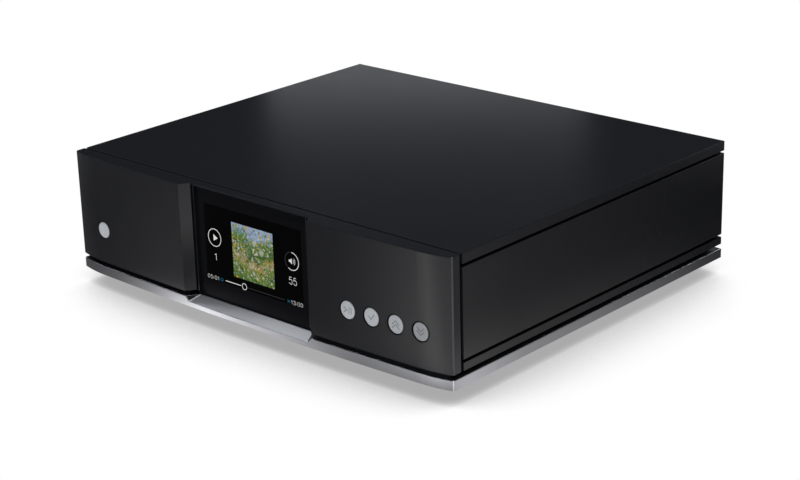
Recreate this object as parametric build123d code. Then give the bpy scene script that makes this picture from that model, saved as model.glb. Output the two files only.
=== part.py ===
from build123d import *
import math
import os

os.makedirs("parts", exist_ok=True)

# All sizes are in millimetres. X runs along the width, the front faces -Y, and Z is up from the table.

# Case stack, from the table up
case_width = 340.0
cover_depth = 278.0
foot_height = 11.2
base_plate_thick = 6.6
plinth_thick = 3.5
chassis_base_thick = 5.0
strip_thick = 2.0
side_panel_height = 59.0
cover_thick = 6.7
side_panel_thick = 8.0

# Steps between the plates of the case
strip_inset = 3.0
strip_width = 5.0
plinth_side_inset = 5.0
plinth_front_inset = 4.5
plinth_rear_inset = 7.6
edge_break = 0.3
recess_share = 0.5
face_clearance = 0.3
fit_clearance = 0.05
screw_clearance = 0.25
overrun = 1.0

# Bow of the front, a long arc with a tighter one at each end
bow_radius = 3360.0
end_bow_radius = 107.0
end_bow_width = 24.0
corner_break = 0.8

# Front panel and the carrier plate behind it
panel_end_thick = 7.7
carrier_thick = 1.5
carrier_side_inset = 2.2
carrier_low_inset = 2.9
carrier_high_inset = 3.8
recess_margin = 6.5
bevel_width = 5.0
bevel_depth = 7.0
panel_web_thick = 2.0
button_skin = 3.0

# Ramp in the base plate under the display
ramp_top_inset = 1.8
ramp_mouth_inset = 0.7
ramp_wall_lean = 2.7
ramp_run = 8.4
ramp_drop = 3.3

# Display
hood_side_gap = 2.0
hood_wall = 0.9
hood_bar_thick = 1.0
glass_side_gap = 0.4
glass_setback = 2.1
glass_thick = 1.2
glass_top_gap = 0.3
screen_half_width = 47.5
screen_low = 8.4
screen_high = 9.8
screen_thick = 5.0
screen_clearance = 0.5
gasket_side = 3.5
gasket_overlap = 5.0
display_board_side = 7.5
display_board_low = 27.5
display_board_high = 61.5
display_board_boss = 4.0

# Buttons and their switches
button_radius = 6.0
power_button_radius = 5.7
button_gap = 0.35
button_sink = 0.15
button_height = 23.7
first_button_share = 156 / 515
button_pitch_share = 96 / 515
power_button_inset = 20.3
button_count = 4
flange_lip = 0.8
flange_thick = 1.5
flange_space = 0.4
stem_radius = 2.0
stem_reach = 3.0
glyph_depth = 0.25
glyph_width = 0.7
glyph_size = 3.1
key_board_boss = 5.5
key_board_height = 16.0
key_board_margin = 9.5
key_boss_margin = 3.5
boss_radius = 2.5
switch_size = 6.0
switch_deep = 3.5
switch_bore_deep = 2.6
power_key_board_size = (15.0, 24.0)
power_boss_rise = 8.6

# Rear panel and what it carries
rear_panel_thick = 3.0
rear_inset = 3.0
post_reach = 14.0
panel_side_gap = 0.3

# Boards and pillars
board_thick = 1.6
pillar_height = 6.0
pillar_radius = 3.0
screw_radius = 1.5
screw_head_radius = 2.8
screw_head_high = 2.0
screw_length = 6.0
screw_cross = 0.8
edge_margin = 5.0

main_board_gap = 10.0
main_board_margin = 13.0
main_board_front = 60.0
can_round = 1.0
processor_shares = (0.726, 0.496)
processor_size = (26.0, 26.0, 2.0)
heatsink_size = (48.0, 48.0)
heatsink_base = 3.0
fin_height = 14.0
fin_thick = 1.4
fin_count = 9
can_shares = [(0.123, 0.638), (0.503, 0.685), (0.866, 0.732), (0.212, 0.331), (0.346, 0.331)]
can_sizes = [(28.0, 34.0, 4.0), (22.0, 22.0, 3.5), (30.0, 20.0, 5.0), (16.0, 12.0, 8.0), (16.0, 12.0, 8.0)]

power_board_margin = 8.0
power_board_gap = 8.0
power_board_deep = 60.0
power_board_rear_gap = 36.0
capacitor_radius = 9.0
capacitor_high = 26.0
capacitor_crimp = 0.6
capacitor_crimp_high = 3.0
capacitor_crimp_wide = 1.0
capacitor_row_lead = 14.0
capacitor_margin = 18.0
capacitor_pitch = 21.0
regulator_sink_deep = 10.0
regulator_sink_high = 32.0
regulator_sink_margins = (10.0, 16.0)
regulator_row_lead = 36.0
regulator_fin_deep = 7.0
regulator_fin_thick = 1.5
regulator_fin_count = 13
regulator_size = (10.0, 4.0, 16.0)
regulator_count = 3
regulator_pitch = 24.0
regulator_lift = 4.0
regulator_leg_thick = 1.0
regulator_leg_inset = 1.5
terminal_deep = 10.0
terminal_high = 11.0
terminal_margin = 5.0
terminal_row_lead = 52.0

partition_share = 20 / 81
partition_thick = 2.0
partition_front = 26.0
partition_head_room = 7.0
partition_flange = 9.0

# Toroidal transformers
toroid_radius = 37.0
toroid_hole = 12.0
toroid_high = 32.0
toroid_round = 9.0
toroid_share = 2 / 3
toroid_first_row = 52.0
toroid_pitch = 80.0
toroid_pad_thick = 2.0
clamp_radius = 31.0
clamp_thick = 2.0
clamp_bolt_radius = 3.0
clamp_head_radius = 5.5
clamp_head_high = 4.0

# Corner posts and the tie bolts from the base plate up into the cover
post_width = 12.0
post_deep = 14.0
front_post_place = 18.0
tie_bolt_radius = 2.0
tie_head_radius = 3.8
tie_head_high = 2.6
tie_thread_deep = 4.6

# Feet
foot_radius = 20.0
foot_taper = 1.5
foot_side_inset = 45.0
foot_end_inset = 42.0
foot_pad_radius = 16.0
foot_pad_thick = 2.5
foot_pad_proud = 1.5
foot_screw_radius = 2.5
foot_screw_head_radius = 4.5
foot_screw_head_high = 3.2
foot_screw_deep = 4.5

# Screws of the front and rear
front_screw_shares = [13 / 103, 69 / 103]
front_screw_low = 8.5
front_screw_drop = 11.7
carrier_screw_inset = 5.2
carrier_screw_low = 18.0
carrier_screw_drop = 7.0
rear_screw_inset = 12.0

# Mains inlet with fuse drawer
inlet_margin = 34.0
inlet_height_share = 32 / 63
inlet_flange_half = 25.0
inlet_flange_low = 21.0
inlet_flange_high = 14.0
inlet_flange_thick = 2.5
inlet_flange_round = 4.0
inlet_body_half = 14.0
inlet_body_low = 19.0
inlet_body_high = 12.0
inlet_body_deep = 27.0
inlet_cavity_half = 12.2
inlet_cavity_low = 7.3
inlet_cavity_high = 9.7
inlet_cavity_deep = 17.0
inlet_corner = 5.0
inlet_pin_size = (2.0, 13.0, 4.0)
inlet_pin_side = 7.0
inlet_pin_low = -1.0
inlet_pin_high = 3.0
inlet_tab_length = 7.0
inlet_tab_thick = 0.8
inlet_screw_side = 20.0
drawer_half_width = 11.0
drawer_high = 7.6
drawer_centre = 13.6
drawer_deep = 11.0
drawer_front_thick = 1.8
drawer_wall = 0.8
drawer_clearance = 0.3
drawer_grip_deep = 0.9
drawer_grip_high = 3.0
fuse_radius = 2.6
fuse_length = 19.6
fuse_cap_length = 5.0
fuse_glass_radius = 2.3

# Mains rocker switch
rocker_share = 21 / 62
rocker_height_share = 31 / 63
rocker_frame_half = 8.6
rocker_frame_high = 13.0
rocker_frame_thick = 1.6
rocker_body_half = 7.4
rocker_body_high = 11.2
rocker_body_deep = 15.0
rocker_wall = 1.2
rocker_radius = 9.2
rocker_axis_in = 2.0
rocker_slope = 18.0
rocker_crest = 3.4
rocker_skirt = 3.0
rocker_frame_round = 0.6
rocker_tabs = (4.0, -4.0)
rocker_tab_high = 5.0
rocker_gap = 0.35
rocker_pin_radius = 1.0
rocker_pin_length = 0.8

# Earth post
earth_share = 47 / 62
earth_height_share = 20 / 63
earth_stud_radius = 2.4
earth_flange_radius = 6.0
earth_flange_thick = 2.0
earth_stud_in = 6.0
earth_nut_radius = 4.6
earth_nut_thick = 3.0
knob_radius = 5.6
knob_length = 8.5
knob_seat_gap = 2.0
knob_flutes = 12
knob_flute_radius = 0.6
knob_break = 0.6

# Sockets on the main board: width, height, depth, then mouth width, mouth height, mouth depth
socket_proud = 0.6
ethernet_share = 18 / 179
ethernet_size = (16.2, 13.6, 21.0)
ethernet_mouth = (11.9, 8.2, 14.0)
ethernet_mouth_lift = 3.6
ethernet_latch = (6.4, 2.0)
usb_shares = [46 / 179, 66 / 179]
usb_size = (14.6, 7.2, 15.0)
usb_mouth = (12.5, 5.2, 12.0)
usb_tongue = (11.2, 1.9, 9.0)
usb_tongue_rise = 0.9
link_share = 88 / 179
link_size = (15.4, 6.6, 12.0)
link_mouth = (14.0, 4.7, 9.0)
link_corner = 1.6
link_tongue = (10.4, 1.2, 7.0)
optical_share = 164 / 179
optical_size = (13.0, 13.0, 16.0)
optical_mouth = (9.4, 8.6, 12.0)
optical_mouth_lift = 2.2
shutter_thick = 0.8
shutter_gap = 0.25
shutter_pin_radius = 0.5
shutter_pin_length = 0.9
shutter_sink = 0.6

# Digital output plug with three pins, in a round shell
xlr_share = 114 / 179
xlr_height_share = 38 / 63
xlr_flange = (26.0, 31.0, 2.5)
xlr_flange_round = 3.0
xlr_shell_radius = 11.4
xlr_shell_deep = 20.0
xlr_cavity_radius = 8.0
xlr_cavity_deep = 16.0
xlr_pin_radius = 1.2
xlr_pin_circle = 4.1
xlr_pin_length = 13.5
xlr_tail_length = 4.0
xlr_screw_side = 9.5
xlr_screw_high = 12.0

# Coaxial output jack
coax_share = 140 / 179
coax_height_share = 38 / 63
coax_barrel_radius = 4.15
coax_bore_radius = 3.5
coax_reach = 11.0
coax_hex_radius = 6.2
coax_hex_thick = 2.4
coax_thread_radius = 3.9
coax_thread_in = 9.0
coax_nut_thick = 2.5
coax_pin_bore = 1.6
coax_pin_deep = 8.0
coax_core_sink = 0.8

# Aerial jacks
aerial_shares = [0.0, 172 / 179]
aerial_drop = 13.0
aerial_radius = 3.175
aerial_bore_radius = 2.3
aerial_bore_deep = 5.0
aerial_reach = 10.5
aerial_hex_radius = 4.6
aerial_hex_thick = 2.0
aerial_thread_in = 6.0
aerial_nut_thick = 2.0

# Cables inside the case
ribbon_width = 24.0
ribbon_thick = 0.7
ribbon_plug = (27.0, 5.0, 6.0)
ribbon_start_rise = 8.0
ribbon_end_lead = 12.0
ribbon_bend = 5.0
ribbon_shift = 8.0
wire_radius = 1.3
wire_bend = 13.0

# Levels and lines that the sizes above give
half = case_width / 2
base_low = foot_height
base_high = base_low + base_plate_thick
panel_low = base_high + plinth_thick
floor_high = panel_low + chassis_base_thick
side_low = floor_high + strip_thick
side_high = side_low + side_panel_height
cover_low = side_high + strip_thick
cover_high = cover_low + cover_thick
inner_half = half - side_panel_thick
recess_half_rear = screen_half_width + recess_margin
recess_half_front = recess_half_rear + bevel_width
ramp_half_top = recess_half_rear - ramp_top_inset
ramp_half_mouth_top = recess_half_front - ramp_mouth_inset
ramp_half_mouth_low = ramp_half_mouth_top - ramp_wall_lean
hood_half_width = recess_half_rear - hood_side_gap
glass_half_width = recess_half_rear - glass_side_gap
gasket_half_width = screen_half_width + gasket_side
display_board_half = screen_half_width + display_board_side
wing_width = inner_half - recess_half_front
first_button = recess_half_front + wing_width * first_button_share
button_pitch = wing_width * button_pitch_share
power_button_place = inner_half - power_button_inset
rear_high = cover_low - floor_high
inlet_height = rear_high * inlet_height_share
rocker_height = rear_high * rocker_height_share
earth_height = rear_high * earth_height_share
xlr_height = rear_high * xlr_height_share
coax_height = rear_high * coax_height_share
aerial_height = rear_high - aerial_drop
partition_place = -inner_half * partition_share
partition_left = partition_place - partition_thick / 2
power_board_left = power_board_margin - inner_half
power_board_right = partition_place - power_board_gap
main_board_left = partition_place + main_board_gap
main_board_right = inner_half - main_board_margin
toroid_place = -inner_half * toroid_share
inlet_place = inlet_margin - inner_half
inlet_edge = inlet_place + inlet_flange_half
rocker_place = inlet_edge + (partition_left - inlet_edge) * rocker_share
earth_place = inlet_edge + (partition_left - inlet_edge) * earth_share


def across_main_board(share):
    """X at a share of the main board's width."""
    return main_board_left + (main_board_right - main_board_left) * share


ethernet_place = across_main_board(ethernet_share)
usb_places = [across_main_board(share) for share in usb_shares]
link_place = across_main_board(link_share)
optical_place = across_main_board(optical_share)
xlr_place = across_main_board(xlr_share)
coax_place = across_main_board(coax_share)
aerial_places = [across_main_board(share) for share in aerial_shares]


def bow_drop(x):
    """How far the front edge lies behind its middle, at x from the centre line."""
    x = abs(x)
    start = half - end_bow_width
    start_drop = bow_radius - math.sqrt(bow_radius**2 - start**2)
    if x <= start:
        return bow_radius - math.sqrt(bow_radius**2 - x**2)
    share = end_bow_radius / bow_radius
    centre_x = start * (1 - share)
    centre_drop = start_drop + (bow_radius - start_drop) * share
    return centre_drop - math.sqrt(end_bow_radius**2 - (x - centre_x) ** 2)


front_reach = bow_drop(half) + panel_end_thick + carrier_thick
overall_depth = front_reach + cover_depth - rear_inset + post_reach
apex = -overall_depth / 2
cover_front = apex + front_reach
cover_rear = cover_front + cover_depth
panel_rear = cover_front - carrier_thick
panel_end_front = panel_rear - panel_end_thick
rear_face = cover_rear - rear_inset
rear_inner = rear_face - rear_panel_thick
power_board_rear = rear_inner - power_board_rear_gap
power_board_front = power_board_rear - power_board_deep
capacitor_row = power_board_front + capacitor_row_lead
regulator_row = power_board_front + regulator_row_lead
terminal_row = power_board_front + terminal_row_lead
toroid_count = int((power_board_front - cover_front) / toroid_pitch)
glass_front = panel_end_front + glass_setback
glass_rear = glass_front + glass_thick
web_front = panel_rear - panel_web_thick
window_low = panel_low + screen_low - screen_clearance
window_high = cover_high - screen_high + screen_clearance
window_half = screen_half_width + screen_clearance


def front_edge(x):
    """Y of the bowed front at x from the centre line."""
    return apex + bow_drop(x)


def block(x, y, z):
    """Box between two limits on each axis."""
    middle = [(low + high) / 2 for low, high in (x, y, z)]
    size = [abs(high - low) for low, high in (x, y, z)]
    return Pos(*middle) * Box(*size)


def around(middle, size):
    """The two limits of a size centred on a place."""
    return (middle - size / 2, middle + size / 2)


def rod_z(radius, x, y, z):
    """Upright cylinder between two heights."""
    return Pos(x, y, (z[0] + z[1]) / 2) * Cylinder(radius, abs(z[1] - z[0]))


def rod_y(radius, x, z, y):
    """Cylinder that lies front to back."""
    return Pos(x, (y[0] + y[1]) / 2, z) * Rot(90, 0, 0) * Cylinder(radius, abs(y[1] - y[0]))


def rod_x(radius, y, z, x):
    """Cylinder that lies along the width."""
    return Pos((x[0] + x[1]) / 2, y, z) * Rot(0, 90, 0) * Cylinder(radius, abs(x[1] - x[0]))


def hexagon_y(radius, x, z, y):
    """Hexagonal bar that lies front to back."""
    face = Plane(origin=(x, y[0], z), z_dir=(0, 1, 0)) * RegularPolygon(radius, 6)
    return extrude(face, y[1] - y[0], dir=(0, 1, 0))


def save(name, *shapes):
    """Write the solids of one sub-part to its file."""
    solids = [solid for shape in shapes for solid in shape.solids()]
    export_step(Compound(children=solids), f"parts/{name}.step")


def bowed_face(half_width, push_back, rear, height):
    """Flat outline with the bowed front, narrowed and pushed back by the given sizes."""
    start = half - end_bow_width

    def point(x):
        return (x, front_edge(x) + push_back, height)

    middle_x = (start + half_width) / 2
    edges = [
        ThreePointArc(point(-half_width), point(-middle_x), point(-start)),
        ThreePointArc(point(-start), point(0), point(start)),
        ThreePointArc(point(start), point(middle_x), point(half_width)),
        Line(point(half_width), (half_width, rear, height)),
        Line((half_width, rear, height), (-half_width, rear, height)),
        Line((-half_width, rear, height), point(-half_width)),
    ]
    return make_face(Wire(edges))


def post_places():
    """Centres of the four corner posts."""
    x = inner_half - post_width / 2
    rear_y = rear_inner - post_deep / 2
    return [(side * x, y) for side in (-1, 1) for y in (cover_front + front_post_place, rear_y)]


def toroid_places():
    """Centres of the toroidal transformers, in a row from the front."""
    first = cover_front + toroid_first_row
    return [(toroid_place, first + i * toroid_pitch) for i in range(toroid_count)]


def foot_places():
    """Centres of the four feet."""
    rows = (cover_front + foot_end_inset, cover_rear - foot_end_inset)
    return [(side * (half - foot_side_inset), y) for side in (-1, 1) for y in rows]


def button_places():
    """Name, x and radius of every front button."""
    names = ["play", "confirm", "up", "down"][:button_count]
    places = [(name, first_button + i * button_pitch, button_radius) for i, name in enumerate(names)]
    return [("power", -power_button_place, power_button_radius)] + places


button_z = panel_low + button_height


def ramp_cutter():
    """Wedge that takes the ramp out of the base plate's front edge, with slanted end walls."""
    edge_y = front_edge(ramp_half_mouth_top)
    top_rear = edge_y + ramp_run
    slope = ramp_drop / ramp_run
    front = apex - overrun
    low = base_high - slope * (top_rear - front)
    lift = base_high + overrun
    side = half
    profile = make_face(
        Polyline(
            (-side, top_rear, base_high),
            (-side, front, low),
            (-side, front, lift),
            (-side, top_rear, lift),
            (-side, top_rear, base_high),
        )
    )
    wedge = extrude(profile, 2 * side, dir=(1, 0, 0))
    for sign in (-1, 1):
        mouth_top = Vector(sign * ramp_half_mouth_top, edge_y, base_high)
        mouth_low = Vector(sign * ramp_half_mouth_low, edge_y, base_high - ramp_drop)
        inner = Vector(sign * ramp_half_top, top_rear, base_high)
        normal = (mouth_low - mouth_top).cross(inner - mouth_top).normalized()
        if normal.X * sign > 0:
            normal = normal * -1
        wedge = split(wedge, bisect_by=Plane(origin=mouth_top, z_dir=normal), keep=Keep.TOP)
    return wedge


def outer_corners(shape):
    """Upright edges at the two front corners."""
    edges = shape.edges().filter_by(Axis.Z)
    front = [edge for edge in edges if edge.center().Y < cover_front]
    return [edge for edge in front if abs(edge.center().X) > half - edge_break]


def make_base_plate():
    """Silver plate under the whole case, with the ramp below the display."""
    plate = extrude(bowed_face(half, 0, cover_rear, base_low), base_plate_thick)
    plate = chamfer(outer_corners(plate), corner_break)
    plate = chamfer(plate.faces().sort_by(Axis.Z)[-1].edges(), edge_break)
    holes = []
    tall = (base_low - overrun, base_high + overrun)
    head_z = (base_low - overrun, base_low + tie_head_high)
    for x, y in post_places():
        holes.append(rod_z(tie_bolt_radius + screw_clearance, x, y, tall))
        holes.append(rod_z(tie_head_radius + screw_clearance, x, y, head_z))
    for x, y in foot_places():
        hole_z = (base_low - overrun, base_low + foot_screw_deep + face_clearance)
        holes.append(rod_z(foot_screw_radius + fit_clearance, x, y, hole_z))
    save("base_plate", plate - ramp_cutter() - holes)


def make_plinth():
    """Black plate that stands the body off the base plate, set in all round."""
    face = bowed_face(half - plinth_side_inset, plinth_front_inset, cover_rear - plinth_rear_inset, base_high)
    plate = extrude(face, plinth_thick)
    notch_rear = glass_rear + face_clearance
    notch_half = recess_half_front
    notch_z = (base_high - overrun, panel_low + overrun)
    notch = block((-notch_half, notch_half), (apex, notch_rear), notch_z)
    holes = [rod_z(tie_bolt_radius + screw_clearance, x, y, notch_z) for x, y in post_places()]
    save("plinth_plate", plate - notch - holes)


def make_chassis_base():
    """Floor of the body, which shows as a strip along each side."""
    plate = block((-half, half), (cover_front, cover_rear), (panel_low, floor_high))
    plate = chamfer(plate.edges().filter_by(Axis.Z), edge_break)
    tall = (panel_low - overrun, floor_high + overrun)
    holes = [rod_z(tie_bolt_radius + screw_clearance, x, y, tall) for x, y in post_places()]
    for x, y in toroid_places():
        holes.append(rod_z(clamp_bolt_radius + fit_clearance, x, y, tall))
    for x, y in floor_pillars():
        holes.append(rod_z(screw_radius + fit_clearance, x, y, tall))
    save("chassis_base", plate - holes)


def make_side_strips():
    """Spacer strips that fill the grooves under the side panels and under the cover."""
    outer = half - strip_inset
    strips = []
    for low in (floor_high, side_high):
        for side in (-1, 1):
            x = (side * (outer - strip_width), side * outer)
            strips.append(block(x, (cover_front, cover_rear - strip_inset), (low, low + strip_thick)))
    save("side_strips", *strips)


def make_side_panels():
    """Thick panels at the left and right."""
    for name, side in (("left_side_panel", -1), ("right_side_panel", 1)):
        panel = block((side * inner_half, side * half), (cover_front, cover_rear), (side_low, side_high))
        outer = panel.faces().sort_by(Axis.X)[0 if side < 0 else -1]
        panel = chamfer(outer.edges(), edge_break)
        deep = (cover_front - overrun, panel_rear + screw_length + face_clearance)
        spots = [(x, z) for x, z in carrier_screws_at() if x * side > 0]
        save(name, panel - [rod_y(screw_radius + fit_clearance, x, z, deep) for x, z in spots])


def make_cover():
    """Thick top plate, plain on top."""
    plate = block((-half, half), (cover_front, cover_rear), (cover_low, cover_high))
    plate = chamfer(plate.edges().filter_by(Axis.Z), edge_break)
    plate = chamfer(plate.faces().sort_by(Axis.Z)[-1].edges(), edge_break)
    thread_z = (cover_low - overrun, cover_low + tie_thread_deep + face_clearance)
    holes = [rod_z(tie_bolt_radius + fit_clearance, x, y, thread_z) for x, y in post_places()]
    save("top_cover", plate - holes)


def front_screws_at():
    """Places of the screws that hold the front panel on its carrier."""
    heights = (panel_low + front_screw_low, cover_high - front_screw_drop)
    places = [recess_half_front + wing_width * share for share in front_screw_shares]
    return [(side * x, z) for side in (-1, 1) for x in places for z in heights]


def make_front_panel():
    """Bowed panel cut from one thick plate, with a bevelled opening for the display."""
    panel = extrude(bowed_face(half, 0, panel_rear, panel_low), cover_high - panel_low)
    panel = chamfer(outer_corners(panel), corner_break)
    panel = chamfer(panel.faces().sort_by(Axis.Z)[-1].edges(), edge_break)
    flare = (recess_half_front - recess_half_rear) / bevel_depth
    mouth = apex - overrun
    mouth_half = recess_half_rear + flare * (panel_end_front - mouth)
    outline = Polyline(
        (-recess_half_rear, web_front, panel_low - overrun),
        (-recess_half_rear, panel_end_front, panel_low - overrun),
        (-mouth_half, mouth, panel_low - overrun),
        (mouth_half, mouth, panel_low - overrun),
        (recess_half_rear, panel_end_front, panel_low - overrun),
        (recess_half_rear, web_front, panel_low - overrun),
        (-recess_half_rear, web_front, panel_low - overrun),
    )
    recess = extrude(make_face(outline), cover_high - panel_low + 2 * overrun)
    window = screen_window((web_front - overrun, panel_rear + overrun))
    holes = []
    for _, x, radius in button_places():
        skin_rear = front_edge(x) + button_skin
        wide = radius + flange_lip + flange_space
        holes.append(rod_y(radius + button_gap, x, button_z, (apex - overrun, skin_rear + overrun)))
        holes.append(rod_y(wide, x, button_z, (skin_rear, panel_rear + overrun)))
    for x, z in front_screws_at():
        y = (cover_front - screw_length - face_clearance, panel_rear + overrun)
        holes.append(rod_y(screw_radius + fit_clearance, x, z, y))
    for x, z in carrier_screws_at():
        y = (panel_rear - screw_head_high - face_clearance, panel_rear + overrun)
        holes.append(rod_y(screw_head_radius + face_clearance, x, z, y))
    save("front_panel", panel - recess - window - holes)


def screen_window(y):
    """Opening for the screen module between two depths."""
    return block((-window_half, window_half), y, (window_low, window_high))


def make_front_carrier():
    """Plate between body and front panel; its bosses hold the display and key boards."""
    x = (carrier_side_inset - half, half - carrier_side_inset)
    z = (panel_low + carrier_low_inset, cover_high - carrier_high_inset)
    plate = block(x, (panel_rear, cover_front), z)
    through = (panel_rear - overrun, cover_front + overrun)
    window = screen_window(through)
    holes = []
    for _, place, _ in button_places():
        holes.append(rod_y(stem_radius + fit_clearance, place, button_z, through))
    for place, height in front_screws_at() + carrier_screws_at():
        holes.append(rod_y(screw_radius + screw_clearance, place, height, through))
    plate = plate - window - holes
    for place, height, length in board_bosses():
        boss = rod_y(boss_radius, place, height, (panel_rear, cover_front + length))
        bore_y = (panel_rear - overrun, cover_front + length + overrun)
        plate = plate + boss - rod_y(screw_radius + fit_clearance, place, height, bore_y)
    save("front_carrier", plate)


def carrier_screws_at():
    """Places of the screws that hold the carrier to the side panels."""
    x = half - carrier_screw_inset
    heights = (side_low + carrier_screw_low, side_high - carrier_screw_drop)
    return [(side * x, z) for side in (-1, 1) for z in heights]


def display_boss_places():
    """Places of the four bosses under the display board."""
    x = display_board_half - key_boss_margin
    rows = (panel_low + display_board_low + key_boss_margin, panel_low + display_board_high - key_boss_margin)
    return [(side * x, z) for side in (-1, 1) for z in rows]


def key_board_limits():
    """Left and right limits of the key board behind the four buttons."""
    last = first_button + (button_count - 1) * button_pitch
    return (first_button - key_board_margin, last + key_board_margin)


def key_boss_places():
    """Places of the bosses under the two key boards."""
    left, right = key_board_limits()
    pair = [(-power_button_place, button_z + side * power_boss_rise) for side in (-1, 1)]
    return [(left + key_boss_margin, button_z), (right - key_boss_margin, button_z)] + pair


def board_bosses():
    """Place, height and length of every boss on the front carrier."""
    bosses = [(x, z, display_board_boss) for x, z in display_boss_places()]
    return bosses + [(x, z, key_board_boss) for x, z in key_boss_places()]


def make_display():
    """Hood, glass, gasket, screen module and display board."""
    side_y = (panel_end_front, glass_front)
    bar_z = (cover_high - hood_bar_thick, cover_high)
    bar = block((-recess_half_rear, recess_half_rear), (panel_end_front, web_front), bar_z)
    for side in (-1, 1):
        x = (side * (hood_half_width - hood_wall), side * hood_half_width)
        bar = bar + block(x, side_y, (panel_low, cover_high))
    save("display_hood", bar)
    glass_x = (-glass_half_width, glass_half_width)
    glass_z = (base_high + face_clearance, cover_high - hood_bar_thick - glass_top_gap)
    save("display_glass", block(glass_x, (glass_front, glass_rear), glass_z))
    outer_z = (window_low - gasket_overlap, window_high + gasket_overlap)
    gasket = block((-gasket_half_width, gasket_half_width), (glass_rear, web_front), outer_z)
    save("display_gasket", gasket - screen_window((glass_rear - overrun, web_front + overrun)))
    screen_z = (panel_low + screen_low, cover_high - screen_high)
    screen_y = (glass_rear, glass_rear + screen_thick)
    save("screen_module", block((-screen_half_width, screen_half_width), screen_y, screen_z))
    low = panel_low + display_board_low
    front = cover_front + display_board_boss
    board_z = (low, panel_low + display_board_high)
    board = block((-display_board_half, display_board_half), (front, front + board_thick), board_z)
    holes = []
    for x, z in display_boss_places():
        y = (front - overrun, front + board_thick + overrun)
        holes.append(rod_y(screw_radius + screw_clearance, x, z, y))
    plug_y = (front + board_thick, front + board_thick + ribbon_plug[1])
    plug_z = around(low + ribbon_start_rise, ribbon_plug[2])
    plug = block(around(ribbon_shift, ribbon_plug[0]), plug_y, plug_z)
    slot = block(
        around(ribbon_shift, ribbon_width + 2 * fit_clearance),
        (plug_y[0] + ribbon_plug[1] * recess_share, plug_y[1] + overrun),
        around(low + ribbon_start_rise, ribbon_thick + 2 * fit_clearance),
    )
    save("display_board", board - holes + (plug - slot))


def bar_between(x, z, start, end, deep, width):
    """Flat bar in the XZ plane between two points, for an engraved stroke."""
    length = math.hypot(end[0] - start[0], end[1] - start[1]) + width
    angle = math.degrees(math.atan2(end[1] - start[1], end[0] - start[0]))
    middle = ((start[0] + end[0]) / 2, (start[1] + end[1]) / 2)
    place = Pos(x + middle[0], (deep[0] + deep[1]) / 2, z + middle[1])
    return place * Rot(0, -angle, 0) * Box(length, abs(deep[1] - deep[0]), width)


# Strokes of the marks on the buttons, as shares of the mark's size from the button's centre
play_shares = [((-1.0, 0.55), (-0.2, 0.0)), ((-0.2, 0.0), (-1.0, -0.55))]
pause_shares = [((0.35, 0.6), (0.35, -0.6)), ((0.95, 0.6), (0.95, -0.6))]
tick_shares = [((-0.6, 0.05), (-0.1, -0.5)), ((-0.1, -0.5), (0.75, 0.65))]
up_shares = [
    ((-0.85, -0.05), (0.0, 0.75)),
    ((0.0, 0.75), (0.85, -0.05)),
    ((-0.85, -0.8), (0.0, 0.0)),
    ((0.0, 0.0), (0.85, -0.8)),
]
down_shares = [((a, -b), (c, -d)) for (a, b), (c, d) in up_shares]
mark_shares = {
    "power": [],
    "play": play_shares + pause_shares,
    "confirm": tick_shares,
    "up": up_shares,
    "down": down_shares,
}


def make_buttons():
    """Push buttons, each with a flange behind the panel's skin and a stem that reaches into its switch."""
    for name, x, radius in button_places():
        face = front_edge(x) + button_sink
        skin_rear = front_edge(x) + button_skin
        flange_rear = skin_rear + flange_thick
        cap = rod_y(radius, x, button_z, (face, flange_rear))
        cap = chamfer(cap.faces().sort_by(Axis.Y)[0].edges(), edge_break)
        flange = rod_y(radius + flange_lip, x, button_z, (skin_rear, flange_rear))
        stem = rod_y(stem_radius, x, button_z, (flange_rear, cover_front + stem_reach))
        button = cap + flange + stem
        deep = (face - overrun, face + glyph_depth)
        for start, end in mark_shares[name]:
            start = [share * glyph_size for share in start]
            end = [share * glyph_size for share in end]
            button = button - bar_between(x, button_z, start, end, deep, glyph_width)
        save(f"{name}_button", button)


def make_key_boards():
    """Two key boards behind the carrier and the switch housings on them."""
    front = cover_front + key_board_boss
    board_y = (front, front + board_thick)
    through = (front - overrun, front + board_thick + overrun)
    holes = [rod_y(screw_radius + screw_clearance, x, z, through) for x, z in key_boss_places()]
    wide = block(key_board_limits(), board_y, around(button_z, key_board_height))
    power_x = around(-power_button_place, power_key_board_size[0])
    tall = block(power_x, board_y, around(button_z, power_key_board_size[1]))
    save("key_boards", wide - holes, tall - holes)
    housings = []
    for _, x, _ in button_places():
        low = front - switch_deep
        body = block(around(x, switch_size), (low, front), around(button_z, switch_size))
        bore = rod_y(stem_radius + fit_clearance, x, button_z, (low - overrun, low + switch_bore_deep))
        housings.append(body - bore)
    save("key_switches", *housings)


def make_posts():
    """Corner posts and the long bolts that clamp the case through them."""
    posts = []
    bolts = []
    for x, y in post_places():
        post = block(around(x, post_width), around(y, post_deep), (floor_high, cover_low))
        bore_z = (floor_high - overrun, cover_low + overrun)
        post = post - rod_z(tie_bolt_radius + screw_clearance, x, y, bore_z)
        if y > 0:
            for z in rear_screw_heights():
                deep = (rear_face - screw_length - face_clearance, rear_inner + overrun)
                post = post - rod_y(screw_radius + fit_clearance, x, z, deep)
        posts.append(post)
        shank_z = (base_low + tie_head_high - face_clearance, cover_low + tie_thread_deep)
        bolt = rod_z(tie_bolt_radius, x, y, shank_z)
        head = rod_z(tie_head_radius, x, y, (base_low + face_clearance, base_low + tie_head_high))
        socket = rod_z(tie_bolt_radius, x, y, (base_low, base_low + tie_head_high * recess_share))
        bolts.append(bolt + head - socket)
    save("corner_posts", *posts)
    save("tie_bolts", *bolts)


def rear_screw_heights():
    """Heights of the screws that hold the rear panel to the rear posts."""
    return (floor_high + rear_screw_inset, cover_low - rear_screw_inset)


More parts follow.
